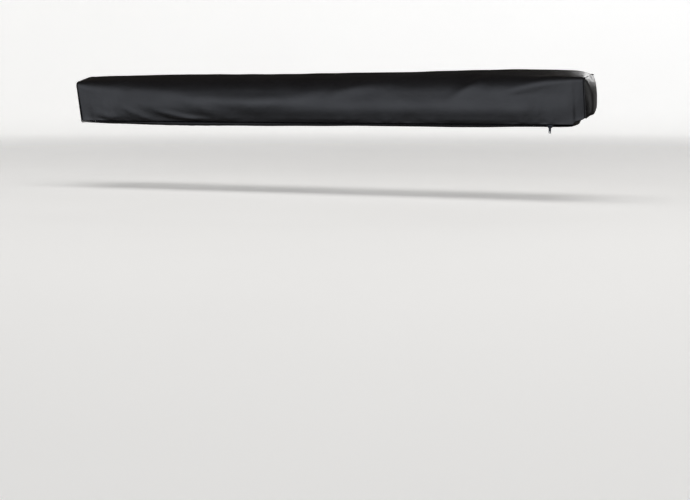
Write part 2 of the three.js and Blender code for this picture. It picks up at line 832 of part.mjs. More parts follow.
// A collar round the end of one tube, narrowing to pass the next; reach runs from the pivot
function twistCollar(outer, inner, radius, from, tube_end, at) {
  const wide = outer + collar_clearance;
  const narrow = inner + collar_clearance;
  const to = from + collar_length;
  const step = tube_end + clearance;
  const profile = [
    [from, wide],
    [from, radius - collar_bevel],
    [from + collar_bevel, radius],
    [to - collar_bevel, radius],
    [to, radius - collar_bevel],
    [to, narrow],
    [step, narrow],
    [step, wide],
  ];
  return turnX(profile.map(([reach, size]) => [at.x - reach, size]), at.y, at.z);
}

function rafterKnuckle(lane) {
  const height = [knuckle_bottom, knuckle_top];
  const body = join(
    rodZ(knuckle_radius, pivot_x, lane, height, tube_sides),
    block(
      [pivot_x - rafter_spans[0][0] + clearance, pivot_x],
      [lane - knuckle_radius, lane + knuckle_radius],
      height,
    ),
    rodX(
      rafter_radii[0] - tube_wall - clearance,
      [pivot_x - rafter_spans[0][0] - plug_length, pivot_x - knuckle_radius],
      lane,
      arm_z,
      tube_sides,
    ),
  );
  const bore = rodZ(pivot_radius + clearance, pivot_x, lane, [height[0] - overrun, height[1] + overrun]);
  return cut(body, bore);
}

function rafterTip(lane) {
  const face = pivot_x - rafter_spans[2][1] - clearance;
  const half = tip_width / 2;
  const plug = rodX(
    rafter_radii[2] - tube_wall - clearance,
    [face - overrun, face + plug_length],
    lane,
    arm_z,
    tube_sides,
  );
  const body = join(
    block([face - tip_length, face], [lane - half, lane + half], [arm_z - half, arm_z + half]),
    plug,
  );
  const hole_z = [arm_z - half - overrun, arm_z + half + overrun];
  return cut(body, rodZ(tip_hole_radius, face - tip_length / 2, lane, hole_z));
}

function addRafters() {
  const stages = ['outer', 'middle', 'inner'];
  Object.entries(rafters).forEach(([name, { lane, side }]) => {
    const at = { x: pivot_x, y: lane, z: arm_z };
    add(`rafter_${name}_knuckle`, onSide(rafterKnuckle(lane), side), black_nylon);
    stages.forEach((stage, i) => {
      const [from, to] = rafter_spans[i];
      const tube = tubeX(rafter_radii[i], tube_wall, [pivot_x - to, pivot_x - from], lane, arm_z);
      add(`rafter_${name}_${stage}_tube`, onSide(tube, side), anodised);
      if (i < stages.length - 1) {
        const collar = twistCollar(
          rafter_radii[i],
          rafter_radii[i + 1],
          collar_radius - i * tube_wall,
          to - collar_overlap,
          to,
          at,
        );
        add(`rafter_${name}_${stage}_collar`, onSide(collar, side), black_nylon);
      }
    });
    add(`rafter_${name}_tip`, onSide(rafterTip(lane), side), black_nylon);
  });
}

// Front bar: an open channel that carries both folded legs, one above the other
const bar_corner = 8;
const bar_lip = 9;
const bar_mouth = bar_height - 2 * bar_lip;
const roll_centre = { y: roll_y, z: roll_z };
const bar_cap_spigot = 8;
const leg_pin_inset = 30;
const leg_pin_x = bar_length / 2 - leg_pin_inset;
const leg_pin_radius = 3;
const leg_radius = leg_collar_radius - leg_collar_stock;
const leg_radii = [leg_radius, leg_radius - tube_wall - running_clearance];
const leg_starts = [-14, 60];
const leg_overshoots = [10, 40];
const leg_spans = leg_starts.map((start, stage) => [start, leg_pin_x + leg_overshoots[stage]]);
const leg_foot_length = 36;
const leg_y = roll_centre.y;
const legs = {
  left: { z: roll_centre.z + leg_lane, side: -1 },
  right: { z: roll_centre.z - leg_lane, side: 1 },
};

function barOutline(depth, height, corner) {
  const half = [depth / 2, height / 2];
  const at = roll_centre;
  return roundedLine([
    [at.y - half[0], at.z],
    [at.y - half[0], at.z + half[1], corner, bend_steps],
    [at.y + half[0], at.z + half[1], corner, bend_steps],
    [at.y + half[0], at.z - half[1], corner, bend_steps],
    [at.y - half[0], at.z - half[1], corner, bend_steps],
    [at.y - half[0], at.z],
  ]).slice(0, -1);
}

function frontBar() {
  const x = [-bar_length / 2, bar_length / 2];
  const through = [x[0] - overrun, x[1] + overrun];
  const hollow = barOutline(bar_depth - 2 * bar_wall, bar_height - 2 * bar_wall, bar_corner - bar_wall);
  const mouth = block(
    through,
    [roll_centre.y - bar_depth / 2 - overrun, roll_centre.y],
    [roll_centre.z - bar_mouth / 2, roll_centre.z + bar_mouth / 2],
  );
  const pin_holes = [-1, 1].map((side) => rodZ(
    leg_pin_radius + clearance,
    side * leg_pin_x,
    leg_y,
    [roll_centre.z - bar_height / 2 - overrun, roll_centre.z + bar_height / 2 + overrun],
  ));
  return cut(
    extrudeX(barOutline(bar_depth, bar_height, bar_corner), x),
    extrudeX(hollow, through),
    mouth,
    ...pin_holes,
  );
}

function barEndCap() {
  const face = bar_length / 2 + clearance;
  const inset = 2 * (bar_wall + clearance);
  return join(
    extrudeX(barOutline(bar_depth, bar_height, bar_corner), [face, face + cap_thickness]),
    extrudeX(
      barOutline(bar_depth - inset, bar_height - inset, bar_corner - bar_wall),
      [face - bar_cap_spigot, face + overrun],
    ),
  );
}

function legTube(stage, z) {
  const [from, to] = leg_spans[stage];
  const tube = tubeX(leg_radii[stage], tube_wall, [leg_pin_x - to, leg_pin_x - from], leg_y, z);
  if (stage > 0) {
    return tube;
  }
  const pin_hole = [z - leg_radii[0] - overrun, z + leg_radii[0] + overrun];
  return cut(tube, rodZ(leg_pin_radius + clearance, leg_pin_x, leg_y, pin_hole));
}

function legFoot(z) {
  const face = leg_pin_x - leg_spans[1][1] - clearance;
  const plug = leg_radii[1] - tube_wall - clearance;
  const radius = leg_radii[0];
  return turnX([
    [face + plug_length, 0],
    [face + plug_length, plug],
    [face, plug],
    [face, radius],
    [face - leg_foot_length + collar_bevel, radius],
    [face - leg_foot_length, radius - collar_bevel],
    [face - leg_foot_length, 0],
  ], leg_y, z);
}

function addFrontBar() {
  add('front_bar', frontBar(), anodised);
  add('front_bar_end_cap_right', closed(barEndCap()), black_nylon);
  add('front_bar_end_cap_left', mirrored(barEndCap()), black_nylon);
  const pin = rodZ(
    leg_pin_radius,
    leg_pin_x,
    leg_y,
    [roll_centre.z - bar_height / 2, roll_centre.z + bar_height / 2],
  );
  Object.entries(legs).forEach(([name, { z, side }]) => {
    const at = { x: leg_pin_x, y: leg_y, z };
    const end = leg_spans[0][1];
    const collar = twistCollar(...leg_radii, leg_collar_radius, end - collar_overlap, end, at);
    add(`leg_${name}_pivot_pin`, onSide(pin, side), zinc);
    add(`leg_${name}_outer_tube`, onSide(legTube(0, z), side), anodised);
    add(`leg_${name}_collar`, onSide(collar, side), black_nylon);
    add(`leg_${name}_inner_tube`, onSide(legTube(1, z), side), anodised);
    add(`leg_${name}_foot`, onSide(legFoot(z), side), black_nylon);
  });
}

// Canopy: one sheet, wound round the front bar, with its beaded edge in the rail's front groove
const quarter_steps = 4;
const strap_width = 25;
const strap_stock = 1.4;
const strap_inset = 400;
const strap_place = canopy_width / 2 - strap_inset;
const buckle = { width: 34, height: 22, depth: 4, slot_place: 5, slot_height: 2.5 };

function cornerOf(quarter) {
  const inner = [bar_depth / 2 - bar_corner, bar_height / 2 - bar_corner];
  const signs = [[1, 1], [1, -1], [-1, -1], [-1, 1]][quarter % 4];
  return [roll_centre.y + signs[0] * inner[0], roll_centre.z + signs[1] * inner[1]];
}

function rollRadius(quarters) {
  return bar_corner + roll_start_gap + roll_pitch * quarters / 4;
}

function canopyLine() {
  const line = [];
  const quarters = 4 * roll_turns;
  for (let quarter = 0; quarter < quarters; quarter += 1) {
    const [y, z] = cornerOf(quarter);
    for (let step = 0; step <= quarter_steps; step += 1) {
      const share = step / quarter_steps;
      const angle = Math.PI / 2 * (1 - quarter - share);
      const radius = rollRadius(quarter + share);
      line.push(new THREE.Vector2(y + radius * Math.cos(angle), z + radius * Math.sin(angle)));
    }
  }
  const [y, z] = cornerOf(quarters);
  line.push(new THREE.Vector2(y, z + rollRadius(quarters)));
  line.push(new THREE.Vector2(-rail_depth - groove_depth, canopy_groove_z - canvas / 2));
  line.push(new THREE.Vector2(-rail_depth + groove_depth, canopy_groove_z - canvas / 2));
  return line;
}

function canopySheet() {
  const x = [-canopy_width / 2, canopy_width / 2];
  const bead = rodX(bead_radius, x, -rail_depth + groove_depth, canopy_groove_z);
  return join(extrudeX(band(canopyLine(), canvas), x), bead);
}

// A webbing strap from above the sheet's root, round the roll and up behind it, with its buckle
function rollStrap(x) {
  const radius = rollRadius(4 * roll_turns) + canvas + clearance + strap_stock;
  const root_y = -rail_depth - groove_depth;
  const root_z = canopy_groove_z + canvas / 2 + clearance + strap_stock;
  const top_back = cornerOf(0);
  const line = [
    new THREE.Vector2(root_y + strap_stock, root_z + strap_stock / 2),
    new THREE.Vector2(root_y - strap_stock, root_z),
    new THREE.Vector2(top_back[0], top_back[1] + radius),
    ...arc(...cornerOf(3), radius, 90, 180, quarter_steps),
    ...arc(...cornerOf(2), radius, 180, 270, quarter_steps),
    ...arc(...cornerOf(1), radius, 270, 360, quarter_steps),
    new THREE.Vector2(top_back[0] + radius, top_back[1]),
  ];
  const webbing = extrudeX(band(line, strap_stock), [x - strap_width / 2, x + strap_width / 2]);
  const front = cornerOf(3)[0] - radius + strap_stock / 2;
  return join(webbing, strapBuckle(x, front));
}

function strapBuckle(x, back) {
  const half = [buckle.width / 2, buckle.height / 2];
  const y = [back - buckle.depth, back];
  const body = block([x - half[0], x + half[0]], y, [roll_centre.z - half[1], roll_centre.z + half[1]]);
  const slots = [-1, 1].map((side) => {
    const z = roll_centre.z + side * buckle.slot_place;
    return block(
      [x - strap_width / 2, x + strap_width / 2],
      [y[0] - overrun, y[1] - strap_stock],
      [z - buckle.slot_height / 2, z + buckle.slot_height / 2],
    );
  });
  return cut(body, ...slots);
}

function addCanopy() {
  add('canopy_sheet', canopySheet(), grey_canvas);
  add('roll_strap_left', rollStrap(-strap_place), black_webbing);
  add('roll_strap_right', rollStrap(strap_place), black_webbing);
}

addRail();
addBeadStrips();
addMountingBrackets();
addRafterBrackets();
addRafters();
addFrontBar();
addCanopy();
addBag();
addZip();

export default awning;
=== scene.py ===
import json
import math

import bmesh
import bpy
import mathutils
import numpy as np
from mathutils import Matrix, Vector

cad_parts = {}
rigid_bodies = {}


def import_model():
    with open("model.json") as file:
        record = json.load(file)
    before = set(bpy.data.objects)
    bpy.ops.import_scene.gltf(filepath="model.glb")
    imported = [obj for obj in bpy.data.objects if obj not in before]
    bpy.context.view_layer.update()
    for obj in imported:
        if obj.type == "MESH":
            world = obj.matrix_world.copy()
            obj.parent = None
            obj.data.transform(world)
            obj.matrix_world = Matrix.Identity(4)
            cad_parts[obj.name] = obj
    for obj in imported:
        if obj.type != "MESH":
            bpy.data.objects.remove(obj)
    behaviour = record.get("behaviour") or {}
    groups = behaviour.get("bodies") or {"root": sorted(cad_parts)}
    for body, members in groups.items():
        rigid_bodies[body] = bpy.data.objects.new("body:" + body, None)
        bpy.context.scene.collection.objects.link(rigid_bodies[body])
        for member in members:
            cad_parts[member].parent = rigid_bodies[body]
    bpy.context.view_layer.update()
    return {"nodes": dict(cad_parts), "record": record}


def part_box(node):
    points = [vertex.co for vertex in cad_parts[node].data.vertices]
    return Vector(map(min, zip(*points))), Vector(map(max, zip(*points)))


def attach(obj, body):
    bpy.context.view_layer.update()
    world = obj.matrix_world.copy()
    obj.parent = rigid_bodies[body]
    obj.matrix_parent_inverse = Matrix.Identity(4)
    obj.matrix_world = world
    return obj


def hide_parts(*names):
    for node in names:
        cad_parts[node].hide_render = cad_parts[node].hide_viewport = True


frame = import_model()

# Backing rail: a 2.08 m aluminium extrusion, clear anodised, that carries everything else. Two rear
# slots take the bracket bolts, three grooves take beaded edges, and die lines run along it.

MM = 0.001
rail_edge = 0.4
crease = 35
cad_weld_reach, flat_within = 2e-6, 0.5
# A noise texture's values mostly lie between these two, for a range node's sockets 1 and 2.
noise_span = {1: 0.3, 2: 0.7}


def linear(code):
    """An sRGB hex colour in linear light: below 0.04 a twelfth of it, above it a power of 2.4."""
    parts = [int(code[i:i + 2], 16) / 255 for i in (1, 3, 5)]
    return [p / 12.92 if p <= 0.04045 else ((p + 0.055) / 1.055) ** 2.4 for p in parts] + [1.0]


def per(size):
    """How often a pattern as wide as the size, in millimetres, fits in a metre."""
    return 1 / (size * MM)


def feed(node, inputs):
    """Gives a node's sockets their values, or links them to what feeds them. Where that is a node,
    its first output does."""
    for socket, value in inputs.items():
        if isinstance(value, bpy.types.Node):
            value = value.outputs[0]
        if isinstance(value, bpy.types.NodeSocket):
            node.id_data.links.new(value, node.inputs[socket])
        else:
            node.inputs[socket].default_value = value


def add_node(tree, kind, inputs, **settings):
    """Adds a node with its settings, and feeds its inputs."""
    node = tree.nodes.new(kind)
    for name, value in settings.items():
        setattr(node, name, value)
    feed(node, inputs)
    return node


def new_material(name, metallic, ior=1.5):
    """A plain material, its node tree, its shader, and the Object coordinates for its patterns."""
    material = bpy.data.materials.new(name)
    material.use_nodes = True
    tree = material.node_tree
    tree.nodes.clear()
    shader = add_node(tree, "ShaderNodeBsdfPrincipled", {"Metallic": metallic, "IOR": ior})
    add_node(tree, "ShaderNodeOutputMaterial", {"Surface": shader})
    return material, tree, shader, add_node(tree, "ShaderNodeTexCoord", {}).outputs["Object"]


def dress(shader, shade, gloss, *reliefs):
    """Gives a shader its patterns: shade is one with the two colours it blends, gloss one with the
    two roughnesses it goes between, and each relief one with its bump's strength and its depth in
    metres, every bump lying on the one before."""
    tree = shader.id_data
    pattern, dark, light = shade
    blend = {0: pattern, 6: linear(dark), 7: linear(light)}
    colour = add_node(tree, "ShaderNodeMix", blend, data_type="RGBA").outputs[2]
    pattern, low, high = gloss
    dull = add_node(tree, "ShaderNodeMapRange", {0: pattern, **noise_span, 3: low, 4: high})
    feed(shader, {"Base Color": colour, "Roughness": dull})
    under = {}
    for pattern, strength, depth in reliefs:
        bump = {"Height": pattern, "Strength": strength, "Distance": depth, **under}
        under = {"Normal": add_node(tree, "ShaderNodeBump", bump)}
    feed(shader, under)


def body_of_node(node):
    """The moving body that a CAD node belongs to."""
    groups = frame["record"]["behaviour"]["bodies"]
    return next(body for body, members in groups.items() if node in members)


def fix_to(piece, node):
    """Fixes a piece to a CAD node: it moves with the node's body."""
    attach(piece, body_of_node(node))
    return piece


def place_for(piece, node):
    """Lets a piece stand for a CAD node."""
    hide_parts(node)
    return fix_to(piece, node)


def shown(name, mesh, material, crease_angle=crease):
    """Puts a mesh in the scene, smooth but for edges sharper than the angle."""
    mesh.polygons.foreach_set("use_smooth", np.ones(len(mesh.polygons), bool))
    mesh.set_sharp_from_angle(angle=math.radians(crease_angle))
    mesh.materials.append(material)
    piece = bpy.data.objects.new(name, mesh)
    bpy.context.scene.collection.objects.link(piece)
    return piece


def eased(node, edge, material):
    """A CAD node's copy: triangles merged, flat faces made whole, and edges rounded by so many
    millimetres."""
    built = bmesh.new()
    built.from_mesh(frame["nodes"][node].data)
    bmesh.ops.remove_doubles(built, verts=built.verts, dist=cad_weld_reach)
    flat = math.radians(flat_within)
    bmesh.ops.dissolve_limit(built, angle_limit=flat, verts=built.verts, edges=built.edges)
    mesh = bpy.data.meshes.new(f"{node}_finished")
    built.to_mesh(mesh)
    built.free()
    piece = shown(f"{node}_finished", mesh, material)
    bevel = piece.modifiers.new("eased edges", "BEVEL")
    bevel.width = edge * MM
    bevel.segments = 2
    bevel.limit_method = "ANGLE"
    bevel.angle_limit = math.radians(crease)
    bevel.harden_normals = True
    return place_for(piece, node)


def anodised_aluminium():
    """Extruded and clear anodised: a dull silver with die lines along X, 0.7 mm apart."""
    material, tree, shader, place = new_material("anodised aluminium, extruded", 1.0)
    lines = add_node(tree, "ShaderNodeMapping", {0: place, 3: (per(500), per(0.714), per(0.714))})
    noise = add_node(tree, "ShaderNodeTexNoise", {0: lines, "Scale": 1.0, "Detail": 2.0})
    cloud = add_node(tree, "ShaderNodeTexNoise", {0: place, "Scale": per(71.4)})
    dress(shader, (cloud, "#a9abae", "#c3c5c8"), (noise, 0.3, 0.46), (noise, 0.5, 2e-5))
    return material


aluminium = anodised_aluminium()
eased("backing_rail", rail_edge, aluminium)

# Rail end caps: injection moulded in black glass-filled nylon and pressed by pegs into the rail's
# chambers. The spark-eroded mould leaves a fine matt texture.


def moulded_nylon():
    """Glass-filled nylon from a spark-eroded mould: near black, matt, with pits 0.4 mm wide."""
    material, tree, shader, place = new_material("glass-filled nylon, moulded", 0.0, 1.53)
    pits = add_node(tree, "ShaderNodeTexVoronoi", {0: place, "Scale": per(0.4)})
    cloud = add_node(tree, "ShaderNodeTexNoise", {0: place, "Scale": per(16.67), "Detail": 3.0})
    dress(shader, (cloud, "#18191b", "#252629"), (cloud, 0.5, 0.66), (pits, 0.6, 4e-5))
    return material


nylon = moulded_nylon()
moulding_edge = 0.8
for side in ("left", "right"):
    eased(f"rail_end_cap_{side}", moulding_edge, nylon)

# Beaded strips: PVC tape welded round a nylon bead and slid into the rail, one for the cover's top
# edge and one for its bottom edge.


def pvc_tape():
    """Plain calendered PVC: black, half gloss, faintly uneven."""
    material, tree, shader, place = new_material("calendered PVC tape", 0.0, 1.53)
    cloud = add_node(tree, "ShaderNodeTexNoise", {0: place, "Scale": per(3.33), "Detail": 4.0})
    dress(shader, (cloud, "#121214", "#202124"), (cloud, 0.38, 0.52), (cloud, 0.5, 6e-5))
    return material


tape = pvc_tape()
strip_edge = 0.3
eased("cover_top_bead_strip", strip_edge, tape)
eased("cover_bottom_bead_strip", strip_edge, tape)

# Mounting brackets: 4 mm steel angles, laser cut, folded, welded with two gussets and powder
# coated. T-bolts, washers and nuts, zinc plated, clamp each one to the rail's rear slots.


def powder_coat():
    """Black powder coat baked on steel: a satin skin with orange peel about 1.5 mm across."""
    material, tree, shader, place = new_material("powder coated steel", 0.0, 1.5)
    peel = add_node(tree, "ShaderNodeTexNoise", {0: place, "Scale": per(1.54), "Detail": 1.0})
    cloud = add_node(tree, "ShaderNodeTexNoise", {0: place, "Scale": per(40.0)})
    dress(shader, (cloud, "#15161a", "#222327"), (cloud, 0.36, 0.5), (peel, 0.7, 1e-4))
    return material


def zinc_plate():
    """Bright zinc over turned steel: bluish silver, clouded, with tool marks 0.3 mm apart."""
    material, tree, shader, place = new_material("steel, zinc plated", 1.0)
    cloud = add_node(tree, "ShaderNodeTexNoise", {0: place, "Scale": per(6.25), "Detail": 3.0})
    marks = add_node(tree, "ShaderNodeTexNoise", {0: place, "Scale": per(0.333)})
    dress(shader, (cloud, "#8f949b", "#c2c6cb"), (cloud, 0.24, 0.42), (marks, 0.4, 2e-5))
    return material


coated_steel = powder_coat()
zinc = zinc_plate()
bracket_edge, bolt_edge = 0.8, 0.4
for end in ("front", "rear"):
    eased(f"mounting_bracket_{end}", bracket_edge, coated_steel)
    eased(f"bracket_bolt_{end}_lower", bolt_edge, zinc)
    eased(f"bracket_bolt_{end}_upper", bolt_edge, zinc)

# Rafter brackets: 3 mm plates folded into a clevis and screwed to the rail's face, with a headed
# pin on which each rafter swings.

clevis_edge, pin_edge = 0.6, 0.5
for side in ("left", "right"):
    eased(f"rafter_bracket_{side}", clevis_edge, coated_steel)
    eased(f"rafter_pivot_pin_{side}", pin_edge, zinc)
    eased(f"rafter_bracket_screw_{side}_lower", bolt_edge, zinc)
    eased(f"rafter_bracket_screw_{side}_upper", bolt_edge, zinc)

# Rafters: three drawn aluminium tubes, one in another, with a moulded knuckle at the pivot, a
# moulded tip at the far end and a ribbed twist collar at each joint.

tube_wall = 1.2
tube_chamfer = 0.3
collar_ribs = 18
rib_depth = 0.7
collar_step_share = 0.125
collar_crown = 1.5
rib_fade_from, rib_fade_over = 1.25, 0.6
throat_clearance, throat_step = 0.5, 1.6
weld_reach = 1e-6


def welded(mesh):
    """Merges a mesh's doubles, drops its edges without length and turns its faces outwards."""
    built = bmesh.new()
    built.from_mesh(mesh)
    bmesh.ops.remove_doubles(built, verts=built.verts, dist=weld_reach)
    bmesh.ops.dissolve_degenerate(built, edges=built.edges, dist=weld_reach / 10)
    bmesh.ops.recalc_face_normals(built, faces=built.faces)
    built.to_mesh(mesh)
    built.free()
    return mesh


def grid_quads(rows, columns, bands, sides):
    """The corner numbers of a grid's quads: so many bands of them, each of so many sides. Where
    there are as many as rows or columns, the last one joins the first."""
    i, j = np.meshgrid(np.arange(bands), np.arange(sides), indexing="ij")
    below, beside = (i + 1) % rows * columns, (j + 1) % columns
    corners = [i * columns + j, i * columns + beside, below + beside, below + j]
    return np.stack(corners, -1).reshape(-1, 4)


def ring_skin(name, points, closed):
    """A skin over a grid of points in millimetres whose rows are rings. With closed, the last ring
    joins the first; otherwise the first and the last are points and close the ends."""
    rows, columns = points.shape[:2]
    quads = grid_quads(rows, columns, rows if closed else rows - 1, columns)
    mesh = bpy.data.meshes.new(name)
    mesh.from_pydata(points.reshape(-1, 3) * MM, [], quads)
    return welded(mesh)


def turned(name, profile, y, z, material, ripple=None, sides=64):
    """A profile of (x, radius) in millimetres carried round a line along X: at angle a a point lies
    at y + radius cos a and z + radius sin a. ripple(x, a) is taken off the radius."""
    x, radius = np.array(profile, float).T[:, :, None]
    angle = np.linspace(0, 2 * np.pi, sides, endpoint=False)[None, :]
    if ripple is not None:
        radius = radius - ripple(x, angle)
    points = np.stack(
        [x + 0 * angle, y + radius * np.cos(angle), z + radius * np.sin(angle)], -1
    )
    return shown(name, ring_skin(name, points, True), material)


def round_size(node):
    """A round CAD node's two ends along X, its axis's y and z, and its radius, in millimetres."""
    low, high = np.array(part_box(node)) / MM
    y, z = (low[1:] + high[1:]) / 2
    return low[0], high[0], y, z, (high[2] - low[2]) / 2


def round_tube(node, material):
    """The drawn tube of a CAD node, smooth and with its ends lightly chamfered."""
    start, end, y, z, radius = round_size(node)
    bore = radius - tube_wall
    c = tube_chamfer
    profile = [
        (start, bore + c), (start, radius - c), (start + c, radius),
        (end - c, radius), (end, radius - c), (end, bore + c),
        (end - c, bore), (start + c, bore),
    ]
    return place_for(turned(f"{node}_drawn", profile, y, z, material), node)


def twist_collar(node, passing, material):
    """A moulded collar with ribs for the fingers: the ribs' valleys follow the cosine of the angle
    and fade towards both ends. Its bore narrows at the end where the thinner tube passes out."""
    start, end, y, z, radius = round_size(node)
    tube_start, tube_end, _, _, tube_radius = round_size(passing)
    throat = tube_radius + throat_clearance
    wide = throat + throat_step
    x = np.linspace(start, end, 25)
    middle, half = x.mean(), (x[-1] - x[0]) / 2
    belly = radius - collar_crown * ((x - middle) / half) ** 8
    exit_is_high = (tube_start + tube_end) / 2 > middle
    step = middle + (half if exit_is_high else -half) * collar_step_share
    high_bore, low_bore = (throat, wide) if exit_is_high else (wide, throat)
    bore = [(x[-1], high_bore), (step, high_bore), (step, low_bore), (x[0], low_bore)]
    profile = [*zip(x, belly), *bore]

    def ribs(at, angle):
        outside = at * 0 + (np.arange(len(profile)) < len(x))[:, None]
        fade = np.clip(rib_fade_from - np.abs(at - middle) / half, 0, rib_fade_over) / rib_fade_over
        return outside * fade * rib_depth * (0.5 - 0.5 * np.cos(collar_ribs * angle))

    piece = turned(f"{node}_ribbed", profile, y, z, material, ribs, collar_ribs * 8)
    return place_for(piece, node)


for side in ("left", "right"):
    eased(f"rafter_{side}_knuckle", moulding_edge, nylon)
    eased(f"rafter_{side}_tip", moulding_edge, nylon)
    for stage in ("outer", "middle", "inner"):
        round_tube(f"rafter_{side}_{stage}_tube", aluminium)
    twist_collar(f"rafter_{side}_outer_collar", f"rafter_{side}_middle_tube", nylon)
    twist_collar(f"rafter_{side}_middle_collar", f"rafter_{side}_inner_tube", nylon)

# Front bar and legs: an open aluminium channel with moulded end caps. Two telescopic legs fold
# into it, each on its own pin, with a twist collar and a plugged foot.

foot_groove, foot_edge = 0.8, 1.5
foot_groove_pitch = 6.0
foot_stem = 28.0
foot_stem_radius = 7.4
channel_edge, bar_cap_edge = 0.4, 1.2


def leg_foot(node, plug_first, material):
    """A turned plug with shallow grooves, where the cosine of the way along it is over 0.75. The
    plain stem that sticks in the tube is at its low end or its high end."""
    low, high, y, z, radius = round_size(node)
    start, face = (low, high) if plug_first else (high, low)
    shoulder = start + math.copysign(foot_stem, face - start)
    x = np.linspace(shoulder, face, 41)
    grooved = radius - foot_groove * (np.cos((x - shoulder) / foot_groove_pitch * 2 * np.pi) > 0.75)
    grooved[-1] = radius - foot_edge
    profile = [(start, 0), (start, foot_stem_radius), (shoulder, foot_stem_radius)]
    profile += [*zip(x, grooved), (face, 0)]
    return place_for(turned(f"{node}_grooved", profile, y, z, material), node)


eased("front_bar", channel_edge, aluminium)
for side in ("left", "right"):
    eased(f"front_bar_end_cap_{side}", bar_cap_edge, nylon)
    eased(f"leg_{side}_pivot_pin", pin_edge, zinc)
    round_tube(f"leg_{side}_outer_tube", aluminium)
    round_tube(f"leg_{side}_inner_tube", aluminium)
    twist_collar(f"leg_{side}_collar", f"leg_{side}_inner_tube", nylon)
    leg_foot(f"leg_{side}_foot", side == "left", nylon)

# Canopy: one sheet of grey coated canvas, 1.92 m by 2.22 m, wound nine turns round the front bar.
# Its bead, a nylon cord sewn in the hem, hangs the sheet from the rail's front groove.

roll_y, roll_z = -66.0, 66.0
turns = 9
turn_pitch = 2.1
first_radius = 9.3
canvas_thickness = 1.0
canvas_width = 1920.0
root_y, root_z = -13.0, 125.5
corner_y, corner_z = 9.0, 22.0
points_each_bend = 7
lead_slack = 1.2
bead_half, bead_radius = 958.0, 2.4
layer_wander, layer_period = 0.4, 260
edge_wander, edge_period = 2.5, 190


def bend_of(quarter, share, radius):
    """A point about a corner of the bar, the corners taken clockwise from the top back: at radius
    times the cosine and sine of an angle that starts upwards and falls by a quarter turn."""
    side_y = np.array([1, 1, -1, -1])[quarter % 4]
    side_z = np.array([1, -1, -1, 1])[quarter % 4]
    angle = np.pi / 2 * (1 - quarter - share)
    y = roll_y + side_y * corner_y + radius * np.cos(angle)
    return np.stack([y, roll_z + side_z * corner_z + radius * np.sin(angle)], -1)


def wound_line():
    """The canvas's section: a bend about each corner in turn, its radius growing evenly by the
    pitch in every four, and then a slack line over to the rail's groove."""
    quarter = np.repeat(np.arange(4 * turns), points_each_bend)
    share = np.tile(np.linspace(0, 1, points_each_bend), 4 * turns)
    wound = bend_of(quarter, share, first_radius + turn_pitch * (quarter + share) / 4)
    t = np.linspace(0, 1, 14)[1:, None]
    run = wound[-1] + (np.array([root_y - 10, root_z]) - wound[-1]) * t
    run[:, 1] -= lead_slack * np.sin(np.pi * t[:, 0])
    into = np.stack([np.linspace(root_y - 7.5, root_y, 4), np.full(4, root_z)], -1)
    return np.concatenate([wound, run, into])


def length_along(line):
    """The way along a line of points from its start to each one."""
    steps = np.linalg.norm(np.diff(line, axis=0), axis=1)
    return np.concatenate([[0], np.cumsum(steps)])


def slow_noise(u, v, period, seed):
    """Smooth unevenness, mostly from -1 to 1: a quarter of the sum of seven sine waves across the
    plane (u, v), each at its own angle and phase, with 0.7 to 1.4 times the period given."""
    rng = np.random.default_rng(seed)
    total = 0
    for angle, phase, stretch in rng.uniform((0, 0, 0.7), (np.pi, 2 * np.pi, 1.4), (7, 3)):
        way = (u * np.cos(angle) + v * np.sin(angle)) * 2 * np.pi / (period * stretch)
        total = total + np.sin(way + phase)
    return total / 4


def grid_mesh(name, points, cloth):
    """An open surface over a grid of points in millimetres. Its UV map, cloth, is in metres along
    the sheet, so that a weave keeps its size."""
    rows, columns = points.shape[:2]
    quads = grid_quads(rows, columns, rows - 1, columns - 1)
    mesh = bpy.data.meshes.new(name)
    mesh.from_pydata(points.reshape(-1, 3) * MM, [], quads)
    layer = mesh.uv_layers.new(name="cloth")
    layer.data.foreach_set("uv", (cloth.reshape(-1, 2)[quads.ravel()] * MM).ravel())
    return mesh


def thickened(piece, thickness, offset):
    """Gives an open sheet its thickness in millimetres, half each side at offset 0."""
    solid = piece.modifiers.new("thickness", "SOLIDIFY")
    solid.thickness = thickness * MM
    solid.offset = offset
    solid.use_even_offset = True
    return piece


def wave_scale(pitch):
    """A wave texture's scale for a pitch in millimetres: at 1 it has 20 / (2 pi) waves a metre."""
    return 2 * math.pi / 20 * per(pitch)


def weave_of(tree, pitch):
    """A plain weave's height: the product of two waves along the cloth's UV map."""
    cloth = add_node(tree, "ShaderNodeUVMap", {}, uv_map="cloth")
    warp, weft = [
        add_node(
            tree, "ShaderNodeTexWave", {0: cloth, "Scale": wave_scale(pitch)}, bands_direction=way
        ).outputs["Fac"]
        for way in ("X", "Y")
    ]
    return add_node(tree, "ShaderNodeMath", {0: warp, 1: weft}, operation="MULTIPLY")


def coated_canvas():
    """Polyester-cotton canvas with an acrylic coat: warm grey, matt, its plain weave 1.2 mm across,
    drawn twice as coarse as the real threads, with slightly uneven dye."""
    material, tree, shader, place = new_material("coated canvas, plain weave", 0.0)
    weave = weave_of(tree, 1.2)
    slub = add_node(tree, "ShaderNodeTexNoise", {0: place, "Scale": per(8.33), "Detail": 4.0})
    dress(shader, (slub, "#7f7e74", "#96948a"), (slub, 0.82, 0.95), (weave, 0.6, 2e-4))
    feed(shader, {"Sheen Weight": 0.15})
    return material


